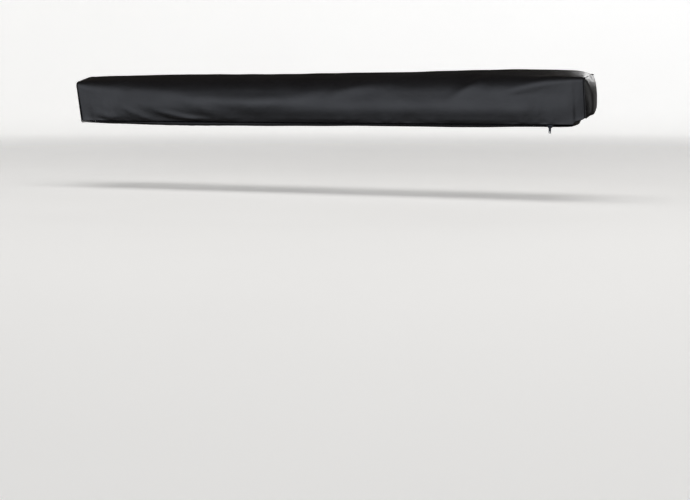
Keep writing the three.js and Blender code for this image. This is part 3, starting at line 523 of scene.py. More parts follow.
canvas = coated_canvas()
section = wound_line()
run = length_along(section)
across = np.linspace(-1, 1, 61) * canvas_width / 2
u, v = np.meshgrid(across, run, indexing="ij")
outward = section - np.array([roll_y, roll_z])
outward /= np.linalg.norm(outward, axis=1)[:, None]
outward[-4:] = 0
wander = layer_wander * slow_noise(u, 0.1 * v, layer_period, seed=3)
wrap_points = np.stack([
    u + edge_wander * slow_noise(0 * u, v, edge_period, seed=5) * (u / across[-1]) ** 15,
    section[None, :, 0] + wander * outward[None, :, 0],
    section[None, :, 1] + wander * outward[None, :, 1],
], -1)
canopy_mesh = grid_mesh("canopy_canvas", wrap_points, np.stack([u, v], -1))
sheet = shown("canopy_canvas", canopy_mesh, canvas)
thickened(sheet, canvas_thickness, 0)
place_for(sheet, "canopy_sheet")
bead_end = [(bead_half, 0), (bead_half, bead_radius - 0.5), (bead_half - 1, bead_radius)]
bead_profile = [(-x, radius) for x, radius in bead_end] + bead_end[::-1]
bead = turned("canopy_bead", bead_profile, root_y, root_z + 0.5, canvas, sides=16)
place_for(bead, "canopy_sheet")

# Roll straps: 25 mm polypropylene webbing round the rolled canopy, each closed in front by a
# moulded ladder buckle.

strap_radius = 30.9
webbing_thickness = 1.4
webbing_width = 25.0
strap_places = (-560.0, 560.0)
buckle_half_width, buckle_half_height, buckle_bar = 15.3, 9.3, 1.9
buckle_bar_half = 14.5
buckle_stand_off = 2.7
strap_crease = 50


def ribbon(name, x, line, width, thickness, material):
    """Flat webbing along a line of (y, z): at each point a rounded bar, whose outline's powers of
    cosine and sine keep it nearly square; both ends are closed to a point."""
    along = np.gradient(line, axis=0)
    along /= np.linalg.norm(along, axis=1)[:, None]
    normal = np.stack([-along[:, 1], along[:, 0]], -1)
    angle = np.linspace(0, 2 * np.pi, 16, endpoint=False)
    flat = np.sign(np.cos(angle)) * np.abs(np.cos(angle)) ** 0.25 * width / 2
    thick = np.sign(np.sin(angle)) * np.abs(np.sin(angle)) ** 0.6 * thickness / 2
    size = np.ones(len(line))
    size[[0, -1]] = 0
    points = np.stack([
        x + size[:, None] * flat[None, :],
        line[:, :1] + size[:, None] * thick * normal[:, :1],
        line[:, 1:] + size[:, None] * thick * normal[:, 1:],
    ], -1)
    return shown(name, ring_skin(name, points, False), material, strap_crease)


def polypropylene_webbing():
    """Woven polypropylene: black, slightly shiny filaments in a 1.3 mm rib across the strap."""
    material, tree, shader, place = new_material("polypropylene webbing", 0.0)
    turn = add_node(tree, "ShaderNodeMapping", {0: place, 2: (0.0, 0.0, 0.6)})
    waves = {0: turn, "Scale": wave_scale(1.3), "Distortion": 0.4}
    ribs = add_node(tree, "ShaderNodeTexWave", waves).outputs["Fac"]
    fuzz = add_node(tree, "ShaderNodeTexNoise", {0: place, "Scale": per(1.11)})
    dress(shader, (fuzz, "#141416", "#28282b"), (fuzz, 0.45, 0.7), (ribs, 0.5, 2e-4))
    return material


def strap_line():
    """The strap's way: from above the sheet's root over the roll, down its front, under it and up
    behind, a quarter turn about each corner of the bar."""
    quarter = np.repeat([3, 2, 1], 9)
    share = np.tile(np.linspace(1, 0, 9), 3)
    round_roll = bend_of(quarter, share, strap_radius)
    lead = np.array([[-24.4, 129.6], [-30.0, 128.6], [-45.0, 123.2], [-57.0, 118.9]])
    tail = np.array([[-26.1, 92.0], [-26.1, 98.0]])
    return np.concatenate([lead, round_roll, tail])


def ladder_buckle(name, x, y, z, material):
    """A moulded frame with a bar across its middle: a rounded bar carried round a rectangle whose
    corners are those of a tenth-power curve, and another straight across it."""
    turn = np.linspace(0, 2 * np.pi, 48, endpoint=False)[:, None]
    side = np.linspace(0, 2 * np.pi, 10, endpoint=False)[None, :]
    square = (np.abs(np.cos(turn)) ** 10 + np.abs(np.sin(turn)) ** 10) ** -0.1
    reach = 1 + 0.1 * np.cos(side)
    frame_points = np.stack([
        x + buckle_half_width * square * np.cos(turn) * reach,
        y + buckle_bar * np.sin(side) + 0 * turn,
        z + buckle_half_height * square * np.sin(turn) * (1 + 0.16 * np.cos(side)),
    ], -1)
    rim = ring_skin(f"{name}_rim", frame_points, True)
    bar = np.linspace(-buckle_bar_half, buckle_bar_half, 8)[:, None]
    end = np.where(np.abs(bar) == buckle_bar_half, 0.0, 1.0)
    bar_points = np.stack([
        x + bar + 0 * side, y + end * 1.5 * np.sin(side), z + end * 1.7 * np.cos(side),
    ], -1)
    built = bmesh.new()
    built.from_mesh(rim)
    built.from_mesh(ring_skin(f"{name}_bar", bar_points, False))
    built.to_mesh(rim)
    built.free()
    return shown(name, rim, material, strap_crease)


webbing = polypropylene_webbing()
for side, x in zip(("left", "right"), strap_places):
    node = f"roll_strap_{side}"
    strap = ribbon(f"{node}_webbing", x, strap_line(), webbing_width, webbing_thickness, webbing)
    buckle_y = roll_y - corner_y - strap_radius - buckle_stand_off
    buckle = ladder_buckle(f"{node}_buckle", x, buckle_y, roll_z, nylon)
    place_for(strap, node)
    place_for(buckle, node)

# Cover, front panel: black PVC-coated polyester, hung by its top edge from the rail. It crowns over
# the roll, turns down the front and ends in a hem at the zip, with soft folds from packing.

bag_half = 1056.0
cover_thickness = 1.2
cover_crease = 60
hinge_y, hinge_z = -6.4, 150.0
hinge_tuck = 0.8
zip_y = -115.3
zip_low, zip_high = -34.5, -27.5
back_y = -1.6
strip_end = 19.5
crown_y, crown_rounding = -41.0, 18.0
chin_depth, chin_fade, chin_rounding = 7.0, 200.0, 9.0
flap_depth = 11.0
bag_middle, underside_middle = (-66, 60), (-66, 20)
front_columns = 529
# Rows along the bag: place, rise of the crown, drop of the front edge, its reach, its rounding,
# the belly's depth, the heel's rounding and its lift, each as a share of the lengths in bag_sizes.
bag_sizes = np.array([bag_half, 22.4, 30, 150, 86, 45, 30, 18])
bag_shares = np.array([
    [-1.000, 0.02, 0.80, 1.000, 0.19, 0.78, 0.60, 0],
    [-0.966, 0.12, 0.77, 1.000, 0.38, 0.83, 0.50, 0],
    [-0.909, 0.22, 0.77, 1.007, 0.53, 0.87, 0.40, 0],
    [-0.830, 0.32, 0.84, 1.020, 0.66, 0.91, 0.30, 0],
    [-0.701, 0.42, 0.98, 1.048, 0.82, 0.98, 0.30, 0],
    [-0.530, 0.45, 1.08, 1.070, 0.89, 1.00, 0.30, 0],
    [-0.341, 0.48, 1.16, 1.082, 0.98, 0.99, 0.30, 0],
    [-0.170, 0.50, 1.18, 1.086, 1.00, 0.97, 0.30, 0],
    [0.000, 0.56, 1.12, 1.080, 0.94, 0.93, 0.30, 0],
    [0.170, 0.62, 1.05, 1.068, 0.96, 0.89, 0.30, 0],
    [0.341, 0.68, 0.96, 1.056, 1.00, 0.90, 0.30, 0],
    [0.492, 0.93, 0.88, 1.048, 1.04, 0.91, 0.30, 0],
    [0.625, 1.00, 0.75, 1.036, 0.86, 0.91, 0.30, 0],
    [0.758, 1.05, 0.66, 1.024, 0.60, 0.85, 0.30, 0],
    [0.843, 0.97, 0.57, 1.013, 0.38, 0.83, 0.35, 0],
    [0.900, 0.92, 0.48, 1.005, 0.28, 0.83, 0.50, 0.05],
    [0.938, 0.87, 0.45, 1.000, 0.21, 0.82, 0.70, 0.25],
    [0.957, 0.78, 0.43, 1.000, 0.18, 0.78, 0.80, 0.46],
    [0.967, 0.70, 0.43, 1.000, 0.18, 0.42, 0.80, 0.56],
    [0.985, 0.48, 0.43, 1.000, 0.17, 0.30, 0.80, 0.80],
    [1.000, 0.15, 0.43, 1.000, 0.16, 0.12, 0.80, 1.00],
])


def between_rows(places, values, at):
    """Values between the rows on a cubic that never overshoots: each row's slope is the harmonic
    mean of the slopes beside it, or zero where they differ in sign."""
    gap = np.diff(places)[:, None]
    rate = np.diff(values, axis=0) / gap
    same = rate[1:] * rate[:-1] > 0
    slope = np.concatenate([rate[:1], np.zeros_like(rate[1:]), rate[-1:]])
    total = np.where(same, rate[1:] + rate[:-1], 1)
    slope[1:-1] = np.where(same, 2 * rate[1:] * rate[:-1] / total, 0)
    k = np.clip(np.searchsorted(places, at, side="right") - 1, 0, len(places) - 2)
    t = ((at - places[k]) / gap[k, 0])[:, None]
    rise = values[k] * (2 * t**3 - 3 * t**2 + 1) + values[k + 1] * (3 * t**2 - 2 * t**3)
    return rise + gap[k] * (slope[k] * (t**3 - 2 * t**2 + t) + slope[k + 1] * (t**3 - t**2))


def bag_section(x):
    """The section's lengths at each x: where its corners are and how far they are rounded."""
    shares = between_rows(bag_shares[:, 0] * bag_half, bag_shares[:, 1:], x)
    rise, drop, reach, rounding, belly, heel, lift = (shares * bag_sizes[1:]).T
    lip = np.maximum(zip_low, 1.5 - belly)
    back_z = lift - belly
    return {
        "x": x, "crown": hinge_z + rise, "edge_y": -reach, "edge_z": hinge_z - drop,
        "rounding": rounding, "belly": -belly, "lip": lip, "flap": np.maximum(zip_high, lip + 0.5),
        "back_z": back_z, "heel": np.minimum(heel, (strip_end - back_z) * 0.9),
        "chin": chin_depth * np.clip((bag_half - np.abs(x)) / chin_fade, 0, 1),
    }


def bent_line(corners, roundings, counts):
    """A line through corners for each x. It is straight up to a rounding's length from a corner and
    goes round on a quadratic curve to as far after it. counts gives the points of each stretch."""
    many = max(np.size(size) for corner in corners for size in corner)
    ends = [np.stack([np.broadcast_to(size, many) for size in corner], -1) for corner in corners]
    parts, leave = [], ends[0]
    for i in range(1, len(ends) - 1):
        back, ahead = ends[i - 1] - ends[i], ends[i + 1] - ends[i]
        size = np.broadcast_to(roundings[i - 1], back.shape[:1])[:, None]
        start = ends[i] + back * size / np.linalg.norm(back, axis=1)[:, None]
        end = ends[i] + ahead * size / np.linalg.norm(ahead, axis=1)[:, None]
        t = np.linspace(0, 1, counts[2 * i - 2], endpoint=False)[None, :, None]
        parts.append(leave[:, None] * (1 - t) + start[:, None] * t)
        t = np.linspace(0, 1, counts[2 * i - 1], endpoint=False)[None, :, None]
        bend = start[:, None] * (1 - t) ** 2 + 2 * ends[i][:, None] * t * (1 - t)
        parts.append(bend + end[:, None] * t**2)
        leave = end
    t = np.linspace(0, 1, counts[-1])[None, :, None]
    parts.append(leave[:, None] * (1 - t) + ends[-1][:, None] * t)
    return np.concatenate(parts, axis=1)


def on_bag(x, line):
    """Puts a section's (y, z) points at their x."""
    return np.concatenate([np.broadcast_to(x[:, None, None], line.shape[:2] + (1,)), line], -1)


def facing(points, centre):
    """The surface's unit normals on a grid of points, turned away from a centre line (y, z)."""
    along, down = np.gradient(points, axis=0), np.gradient(points, axis=1)
    normal = np.cross(along, down)
    normal /= np.maximum(np.linalg.norm(normal, axis=-1), 1e-9)[..., None]
    away = (points[..., 1:] - np.array(centre)) * normal[..., 1:]
    return normal * np.where(away.sum(-1) < 0, -1, 1)[..., None]


def fold(x, z, path, height, width):
    """A soft fold's height along a path of (x, z): it falls off as a bell curve of the distance
    from the path, and fades towards both of the path's ends."""
    path = np.array(path, float)
    nearest = np.full(x.shape, 1e9)
    way = np.zeros(x.shape)
    total = np.linalg.norm(np.diff(path, axis=0), axis=1).sum()
    before = 0
    for a, b in zip(path[:-1], path[1:]):
        step = b - a
        t = np.clip(((x - a[0]) * step[0] + (z - a[1]) * step[1]) / (step @ step), 0, 1)
        far = np.hypot(x - a[0] - t * step[0], z - a[1] - t * step[1])
        way = np.where(far < nearest, (before + t * np.linalg.norm(step)) / total, way)
        nearest = np.minimum(nearest, far)
        before += np.linalg.norm(step)
    fade = np.sin(np.pi * np.clip(way, 0.02, 0.98)) ** 0.5
    return height * np.exp(-((nearest / width) ** 2)) * fade


def front_line(at):
    """The front panel's section, from the rail over the crown and down to the zip."""
    return bent_line(
        [
            (hinge_y, hinge_z - hinge_tuck), (crown_y, at["crown"]), (at["edge_y"], at["edge_z"]),
            (zip_y - at["chin"], at["flap"] + flap_depth), (zip_y, at["flap"]),
        ],
        [crown_rounding, at["rounding"], chin_rounding],
        [7, 8, 14, 26, 24, 5, 5],
    )


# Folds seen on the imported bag: paths along (x, z), each with its height and width.
bag_folds = [
    ([(-780, 98), (-600, 78), (-420, 62), (-257, 54), (-120, 60), (0, 74), (110, 94)], 6.5, 28),
    ([(60, 58), (82, 72), (165, 103), (225, 118), (345, 134)], 6.0, 24),
    ([(560, 66), (588, 81), (640, 112), (700, 142)], 5.2, 20),
    ([(760, 80), (785, 92), (870, 118), (960, 143)], 4.2, 22),
    ([(-580, 66), (-460, 20), (-330, -24)], 2.4, 26),
    ([(-950, 46), (-700, 4), (-470, -22)], -2.6, 30),
    ([(-850, 26), (-780, 0), (-720, -28)], 3.0, 15),
    ([(-690, 12), (-600, -6), (-530, -20), (-440, -34)], 6.0, 14),
    ([(-1000, 10), (-930, -12), (-860, -30)], 2.0, 16),
    ([(-1020, -2), (-920, -6), (-830, -4), (-770, 4)], 1.4, 14),
]
# Its other forms: their heights, their periods, and the lengths over which they grow or fade.
fullness, fullness_up_to, fullness_fade = 8.5, 118.0, 220.0
gather_height, gather_period, gather_fade = 1.6, 46, 26.0
gathered_stretch, flat_seam = 500, 7
long_wave, long_period, short_wave, short_period = 1.3, 420, 0.5, 130
front_face_from, front_face_fade = 118.0, 7
held_by_rail, held_by_zip, held_by_ends = 40, 15, 60


def rising(way, length):
    """From 0 to 1 in proportion to the way, over a length."""
    return np.clip(way / length, 0, 1)


def front_unevenness(points, run):
    """How far the panel stands off its plain form: slow waves along it; the folds, from where the
    front face starts; a fullness over its lower half, as a squared sine; and small gathers at the
    zip's seam, in some places only, that die away within a few centimetres above it."""
    x, z = points[..., 0], points[..., 2]
    slow = long_wave * slow_noise(x, 1.6 * run, long_period, seed=11)
    slow = slow + short_wave * slow_noise(x, 1.2 * run, short_period, seed=12)
    from_zip = run[:, -1:] - run
    from_end = bag_half - np.abs(x)
    gathers = gather_height * slow_noise(x, 0.25 * from_zip, gather_period, seed=13)
    gathers *= np.clip(0.45 + 0.9 * slow_noise(x, 0, gathered_stretch, seed=14), 0, 1)
    near_zip = np.exp(-from_zip / gather_fade) * rising(from_zip, flat_seam)
    folds = sum(fold(x, z, *shape) for shape in bag_folds)
    on_front = 1 / (1 + np.exp(-(run - front_face_from) / front_face_fade))
    free = rising(run, held_by_rail) * rising(from_zip, held_by_zip)
    full = fullness * np.sin(np.pi * rising(from_zip, fullness_up_to)) ** 2
    full = full * rising(from_end, fullness_fade)
    lift = full + free * (slow + folds * on_front) + near_zip * gathers
    return rising(from_end, held_by_ends) * lift


def coated_polyester():
    """Polyester scrim between two coats of PVC: black, half gloss. Its threads, 1.1 mm apart, show
    faintly through the coat, which has soft dents, small creases and a film of dust."""
    material, tree, shader, place = new_material("polyester scrim coated with PVC", 0.0, 1.53)
    scrim = weave_of(tree, 1.1)
    dust = add_node(tree, "ShaderNodeTexNoise", {0: place, "Scale": per(166.7), "Detail": 6.0})
    dents = add_node(tree, "ShaderNodeTexNoise", {0: place, "Scale": per(45.45), "Detail": 3.0})
    crease_scale = (per(38.46), per(16.67), per(16.67))
    stretch = add_node(tree, "ShaderNodeMapping", {0: place, 3: crease_scale})
    creases = add_node(
        tree, "ShaderNodeTexNoise", {0: stretch, "Scale": 1.0, "Detail": 3.0},
        noise_type="RIDGED_MULTIFRACTAL",
    )
    dress(
        shader, (dust, "#0c0c0e", "#141416"), (dust, 0.3, 0.44),
        (dents, 0.6, 3e-3), (creases, 0.3, 2e-4), (scrim, 0.35, 1e-4),
    )
    return material


def run_down(points):
    """The way along each section from its first point."""
    steps = np.linalg.norm(np.diff(points, axis=1), axis=-1)
    return np.concatenate([np.zeros((len(points), 1)), np.cumsum(steps, axis=1)], axis=1)


cover_cloth = coated_polyester()
columns = np.linspace(-bag_half, bag_half, front_columns)
here = bag_section(columns)
plain = on_bag(columns, front_line(here))
run = run_down(plain)
lift = front_unevenness(plain, run)
front_points = plain + facing(plain, bag_middle) * lift[..., None]
cloth = np.stack([plain[..., 0], run], -1)
front_mesh = grid_mesh("cover_front_cloth", front_points[:, ::-1], cloth[:, ::-1])
front = shown("cover_front_cloth", front_mesh, cover_cloth, cover_crease)
thickened(front, cover_thickness, -1)
place_for(front, "cover_front_panel")


# Cover, bottom panel: the same coated polyester, held by the rail's lower bead strip. It runs down
# the back, under the contents and up to the zip's lower tape.


def under_line(at):
    """The bottom panel's section, from the zip round the chin, under to the heel and the strip."""
    return bent_line(
        [
            (zip_y, at["lip"]), (zip_y + 0.6 * at["chin"], at["belly"]),
            (back_y, at["back_z"]), (back_y, strip_end),
        ],
        [np.minimum(chin_rounding, at["lip"] - at["belly"]), at["heel"]],
        [3, 7, 30, 12, 6],
    )


sag_depth, sag_period, sag_run, sag_fade = 1.2, 240, 112, 80
pulled_height, pulled_period, pulled_place, pulled_width = 1.5, 52, -660.0, 260.0
under = on_bag(columns, under_line(here))
x, run = under[..., 0], run_down(under)
# It sags as a sine across its run and not at its ends, and is pulled in waves near one place.
sag = np.sin(np.pi * rising(-under[..., 1], sag_run)) * rising(bag_half - np.abs(x), sag_fade)
pulled = pulled_height * slow_noise(x, run, pulled_period, seed=22)
pulled *= np.exp(-(((x - pulled_place) / pulled_width) ** 2))
under_points = under.copy()
uneven = sag_depth * slow_noise(x, run, sag_period, seed=21)
under_points[..., 2] -= sag * (sag_depth + uneven + pulled)
bottom_mesh = grid_mesh("cover_bottom_cloth", under_points, np.stack([x, run], -1))
bottom = shown("cover_bottom_cloth", bottom_mesh, cover_cloth, cover_crease)
thickened(bottom, cover_thickness, -1)
place_for(bottom, "cover_bottom_panel")

# Cover, end panels: a piece of the same cloth at each end, domed outwards and sewn in with piping.
# The seam's pull leaves small puckers all round.

end_inset = 2.8
end_dome = 23.0
end_bulge = np.array([-66.0, 55.0])
end_oval = np.array([56.0, 80.0])
end_points, end_rings = 240, 30
end_stand_off = 2.6
pucker_height, puckers, pucker_wander = 0.9, 31, 0.6
dent_depth, dent_period = 4.0, 90


def end_outline(side, inset):
    """The end's outline: the section at that end, closed from the heel up behind the rail."""
    at = bag_section(np.array([side * bag_half]))
    line = bent_line(
        [
            (-5.5 - inset, hinge_z - inset), (crown_y, at["crown"] - inset),
            (at["edge_y"] + inset, at["edge_z"] - inset), (zip_y + inset, at["belly"] + inset),
            (back_y - inset, at["back_z"] + inset), (back_y - inset, 26.0),
        ],
        [crown_rounding, at["rounding"], 6.0, at["heel"] / 2],
        [8, 8, 20, 16, 26, 8, 16, 8, 10],
    )
    return line[0]


def points_at(line, way, at):
    """A line's points at certain ways along it."""
    return np.stack([np.interp(at, way, line[:, k]) for k in range(line.shape[1])], -1)


def spread(line, count, closed):
    """A line's points moved to even distances along it."""
    ring = np.concatenate([line, line[:1]]) if closed else line
    way = length_along(ring)
    return points_at(ring, way, np.linspace(0, way[-1], count, endpoint=not closed))


def end_panel(side):
    """A dome: at share s of the way from its middle to the seam it stands off by its height times
    one less the fourth power of s, with puckers that follow a sine round the seam. Its rings are
    ovals near the middle and take the seam's outline by the square of s."""
    outline = spread(end_outline(side, end_inset), end_points, True)
    share = np.sin(np.linspace(0, np.pi / 2, end_rings))[:, None]
    turn = np.arange(end_points)[None, :] / end_points
    wander = pucker_wander * np.sin(9 * turn * 2 * np.pi)
    pucker = pucker_height * share**9 * np.sin(2 * np.pi * (puckers * turn + wander))
    noise = slow_noise(outline[None, :, 0], outline[None, :, 1], dent_period, seed=31)
    soft = dent_depth * share**2 * (1 - share) * noise
    height = end_dome * (1 - share**4) + pucker * (1 - share**30) + soft
    to_seam = outline - end_bulge
    to_oval = to_seam / np.linalg.norm(to_seam / end_oval, axis=1)[:, None]
    part = share[..., None]
    place = end_bulge + part * (to_oval[None] * (1 - part**2) + to_seam[None] * part**2)
    return np.concatenate([side * (bag_half + end_stand_off + height[..., None]), place], -1)


def closed_round(name, points, cloth):
    """A grid of rings, its first one a point, as a disc of quads joined where the rings close."""
    wrapped = np.concatenate([points, points[:, :1]], axis=1)
    return welded(grid_mesh(name, wrapped, np.concatenate([cloth, cloth[:, :1]], axis=1)))


def face_along(mesh, side):
    """Turns an open mesh's faces round if they look away from an end's side."""
    normals = np.empty(len(mesh.polygons) * 3)
    mesh.polygons.foreach_get("normal", normals)
    if normals.reshape(-1, 3)[:, 0].mean() * side < 0:
        mesh.flip_normals()


for side, sign in (("left", -1), ("right", 1)):
    points = end_panel(sign)
    node = f"cover_end_panel_{side}"
    mesh = closed_round(f"{node}_cloth", points, points[..., 1:])
    face_along(mesh, sign)
    panel = shown(f"{node}_cloth", mesh, cover_cloth, cover_crease)
    thickened(panel, cover_thickness, -1)
    place_for(panel, node)

# End welts: piping of soft black PVC round a cord, sewn into the seam between each end panel and
# the rest of the cover. It is the shiniest part of the bag.

welt_radius = 2.0
welt_stand_off = 2.5
welt_points, welt_sides = 300, 12


def tube_along(name, path, radius, sides, material, crease_angle):
    """A round section carried along a path of points: at each one the circle lies in the plane of
    two directions square to the path. The ends are closed to a point."""
    way = np.gradient(path, axis=0)
    way /= np.linalg.norm(way, axis=1)[:, None]
    first = np.cross(way, (1.0, 0.0, 0.0))
    first /= np.linalg.norm(first, axis=1)[:, None]
    second = np.cross(way, first)
    angle = np.linspace(0, 2 * np.pi, sides, endpoint=False)[None, :, None]
    size = np.full(len(path), radius)
    size[[0, -1]] = 0
    ring = np.cos(angle) * first[:, None] + np.sin(angle) * second[:, None]
    points = path[:, None] + size[:, None, None] * ring
    return shown(name, ring_skin(name, points, False), material, crease_angle)


def piping():
    """Plasticised PVC piping: black and glossy, rubbed a little duller in places."""
    material, tree, shader, place = new_material("plasticised PVC piping", 0.0, 1.53)
    rub = add_node(tree, "ShaderNodeTexNoise", {0: place, "Scale": per(14.3), "Detail": 3.0})
    dress(shader, (rub, "#0e0e10", "#1b1b1e"), (rub, 0.22, 0.4), (rub, 0.4, 4e-4))
    return material


welt_vinyl = piping()
for side, sign in (("left", -1), ("right", 1)):
    outline = spread(end_outline(sign, 0.0), welt_points, False)
    x = np.full((len(outline), 1), sign * (bag_half + welt_stand_off))
    path = np.concatenate([x, outline], axis=1)
    node = f"cover_end_welt_{side}"
    piping_drawn = tube_along(
        f"{node}_piping", path, welt_radius, welt_sides, welt_vinyl, cover_crease
    )
    place_for(piping_drawn, node)

# Seams: bonded polyester thread, lock-stitched at 5 mm along the hems of the cover's two long
# panels and beside the piping. Each stitch lies half sunk in the cloth.

stitch_pitch = 5.0
stitch_length = 3.6
stitch_radius = 0.35
thread_crease = 80


def lock_stitches(name, path, normals, material):
    """One small capsule for each stitch along a path, half sunk in the cloth: a lengthened ball of
    five rings, placed by the path's direction and the cloth's normal there."""
    way = length_along(path)
    at = np.arange(stitch_pitch, way[-1] - stitch_pitch, stitch_pitch)
    centre, normal = points_at(path, way, at), points_at(normals, way, at)
    ahead = points_at(path, way, at + 1) - centre
    ahead /= np.linalg.norm(ahead, axis=1)[:, None]
    across = np.cross(normal, ahead)
    across /= np.linalg.norm(across, axis=1)[:, None]
    normal = np.cross(ahead, across)
    rings, sides = 5, 6
    round_angles = np.linspace(0, 2 * np.pi, sides, endpoint=False)
    long_, round_ = np.meshgrid(np.linspace(0, np.pi, rings), round_angles, indexing="ij")
    shape = np.stack([
        -np.cos(long_) * stitch_length / 2, np.sin(long_) * np.cos(round_) * stitch_radius,
        np.sin(long_) * np.sin(round_) * stitch_radius,
    ], -1).reshape(-1, 3)
    axes = np.stack([ahead, across, normal], 1)
    points = centre[:, None] + shape @ axes
    each = rings * sides * np.arange(len(at))[:, None, None]
    quads = (grid_quads(rings, sides, rings - 1, sides)[None] + each).reshape(-1, 4)
    mesh = bpy.data.meshes.new(name)
    mesh.from_pydata(points.reshape(-1, 3) * MM, [], quads)
    return shown(name, welded(mesh), material, thread_crease)


def bonded_thread():
    """Bonded polyester sewing thread: charcoal, with a low shine and its twist as a fine bump."""
    material, tree, shader, place = new_material("bonded polyester thread", 0.0)
    twist = add_node(tree, "ShaderNodeTexNoise", {0: place, "Scale": per(0.286)})
    dress(shader, (twist, "#26262a", "#3c3c41"), (twist, 0.42, 0.6), (twist, 0.5, 1e-4))
    return material


thread = bonded_thread()
stitched = {
    "cover_front_panel": (front_points, facing(front_points, bag_middle)),
    "cover_bottom_panel": (under_points, facing(under_points, underside_middle)),
}
# Each seam follows one row or one column of a panel's grid.
seams = {
    "hem_above_zip": ("cover_front_panel", np.s_[4:-4, -4]),
    "hem_at_hinge": ("cover_front_panel", np.s_[4:-4, 5]),
    "hem_left_end": ("cover_front_panel", np.s_[2, 3:-2]),
    "hem_right_end": ("cover_front_panel", np.s_[-3, 3:-2]),
    "hem_under_zip": ("cover_bottom_panel", np.s_[4:-30, 6]),
    "hem_bottom_left": ("cover_bottom_panel", np.s_[2, 4:-2]),
    "hem_bottom_right": ("cover_bottom_panel", np.s_[-3, 4:-2]),
}
for seam, (node, line) in seams.items():
    points, normals = stitched[node]
    stitches = lock_stitches(f"stitches_{seam}", points[line], normals[line], thread)
    fix_to(stitches, node)

# Zip: two woven polyester tapes, each with a nylon coil sewn on its edge, run along the front
# under the hem. A die-cast slider with a flat pull runs on the coils and stops near the right end.

zip_z = -31.0
zip_start, zip_stop = -1035.0, 945.0
coil_y = -113.3
coil_pitch = 1.6
coil_turn = 1.5
coil_depth = 0.75
coil_wire = 0.4
tape_thickness, tape_wave, tape_period = 0.7, 0.12, 60


def zip_coil(name, z, phase, material):
    """A coil of nylon wire: a point at turn t lies coil_depth times its cosine in front of the tape
    and coil_turn times its sine above the coil's middle."""
    turn = np.arange(zip_start + 1, zip_stop - 1, coil_pitch / 8)
    angle = 2 * np.pi * turn / coil_pitch + phase
    path = np.stack([turn, coil_y + coil_depth * np.cos(angle), z + coil_turn * np.sin(angle)], -1)
    return tube_along(name, path, coil_wire, 4, material, thread_crease)


def zip_tape(name, low, high, material):
    """A woven tape: a flat band between two heights, slightly waved."""
    along = np.linspace(zip_start, zip_stop, 397)
    x, z = np.meshgrid(along, np.linspace(low, high, 5), indexing="ij")
    wave = tape_wave * slow_noise(x, z, tape_period, seed=41)
    points = np.stack([x, coil_y + wave, z], -1)
    mesh = grid_mesh(name, points, np.stack([x, z], -1))
    return thickened(shown(name, mesh, material), tape_thickness, 0)


def herringbone_tape():
    """Woven polyester tape: black and matt, its threads 0.9 mm apart."""
    material, tree, shader, place = new_material("woven polyester tape", 0.0)
    weave = weave_of(tree, 0.9)
    dress(shader, (weave, "#101012", "#232326"), (weave, 0.7, 0.85), (weave, 0.6, 1e-4))
    return material


def nylon_wire():
    """Drawn nylon monofilament: black, with a soft gloss and faint draw marks."""
    material, tree, shader, place = new_material("nylon monofilament", 0.0, 1.53)
    marks = add_node(tree, "ShaderNodeTexNoise", {0: place, "Scale": per(0.833)})
    dress(shader, (marks, "#131315", "#222225"), (marks, 0.3, 0.45), (marks, 0.3, 3e-5))
    return material


def black_nickel():
    """Die-cast zinc plated with black nickel: a dark grey metal with soft casting marks."""
    material, tree, shader, place = new_material("die-cast zinc, black nickel plated", 1.0)
    marks = add_node(tree, "ShaderNodeTexNoise", {0: place, "Scale": per(1.11), "Detail": 2.0})
    dress(shader, (marks, "#2b2c2f", "#3d3e42"), (marks, 0.3, 0.46), (marks, 0.4, 5e-5))
    return material


tape_weave = herringbone_tape()
coil_nylon = nylon_wire()
# Each tape: its coil's side of the zip, its low and high edge, and where in a turn its coil starts.
tapes = {"upper": (1, -28.4, -20.2, 0.0), "lower": (-1, -34.3, -33.6, np.pi)}
coil_offset = 1.1
for level, (sign, low, high, phase) in tapes.items():
    node = f"zip_{level}_tape"
    place_for(zip_tape(f"{node}_woven", low, high, tape_weave), node)
    place_for(zip_coil(f"{node}_coil", zip_z + sign * coil_offset, phase, coil_nylon), node)
black_zinc = black_nickel()
slider_edge, pull_edge = 0.5, 0.45
eased("zip_slider", slider_edge, black_zinc)
eased("zip_pull", pull_edge, black_zinc)

# Floor and backdrop: a round white cyclorama under the hung awning, painted matt, with a painted
# glow in its paint, growing outwards to the wall, in place of lamps washing it. On the tent's
# side it has no wall; there a second one, for the camera alone, stands in.

floor_height = -0.30
inner_radius, flat_radius, sweep_start, sweep_radius, wall_height = 3.0, 5.5, 8.0, 2.5, 6.0
opening, opening_fade, backdrop_drop = 0.9, 0.25, 0.02
tent_way = (-0.34, -0.93, -0.13)


def cyclorama(name, base, open_side):
    """A round floor that sweeps up into a wall, or with open_side not on the tent's side. The
    height is a quarter circle's and then straight up, times the share of the wall at that angle."""
    quarter = np.linspace(0, np.pi / 2, 13)
    sweep = sweep_start + sweep_radius * np.sin(quarter)
    radius = np.concatenate([[0.0, inner_radius, flat_radius], sweep, sweep[-1:]])[:, None]
    rise = sweep_radius - sweep_radius * np.cos(quarter)
    rise = np.concatenate([np.zeros(3), rise, [wall_height]])[:, None]
    angle = np.linspace(0, 2 * np.pi, 96, endpoint=False)[None, :]
    toward_tent = np.cos(angle) * tent_way[0] + np.sin(angle) * tent_way[1]
    from_tent = np.arccos(np.clip(toward_tent, -1, 1))
    wall = rising(from_tent - opening, opening_fade) if open_side else np.ones_like(angle)
    points = np.stack([radius * np.cos(angle), radius * np.sin(angle), base + rise * wall], -1)
    return closed_round(name, points / MM, points[..., :2])


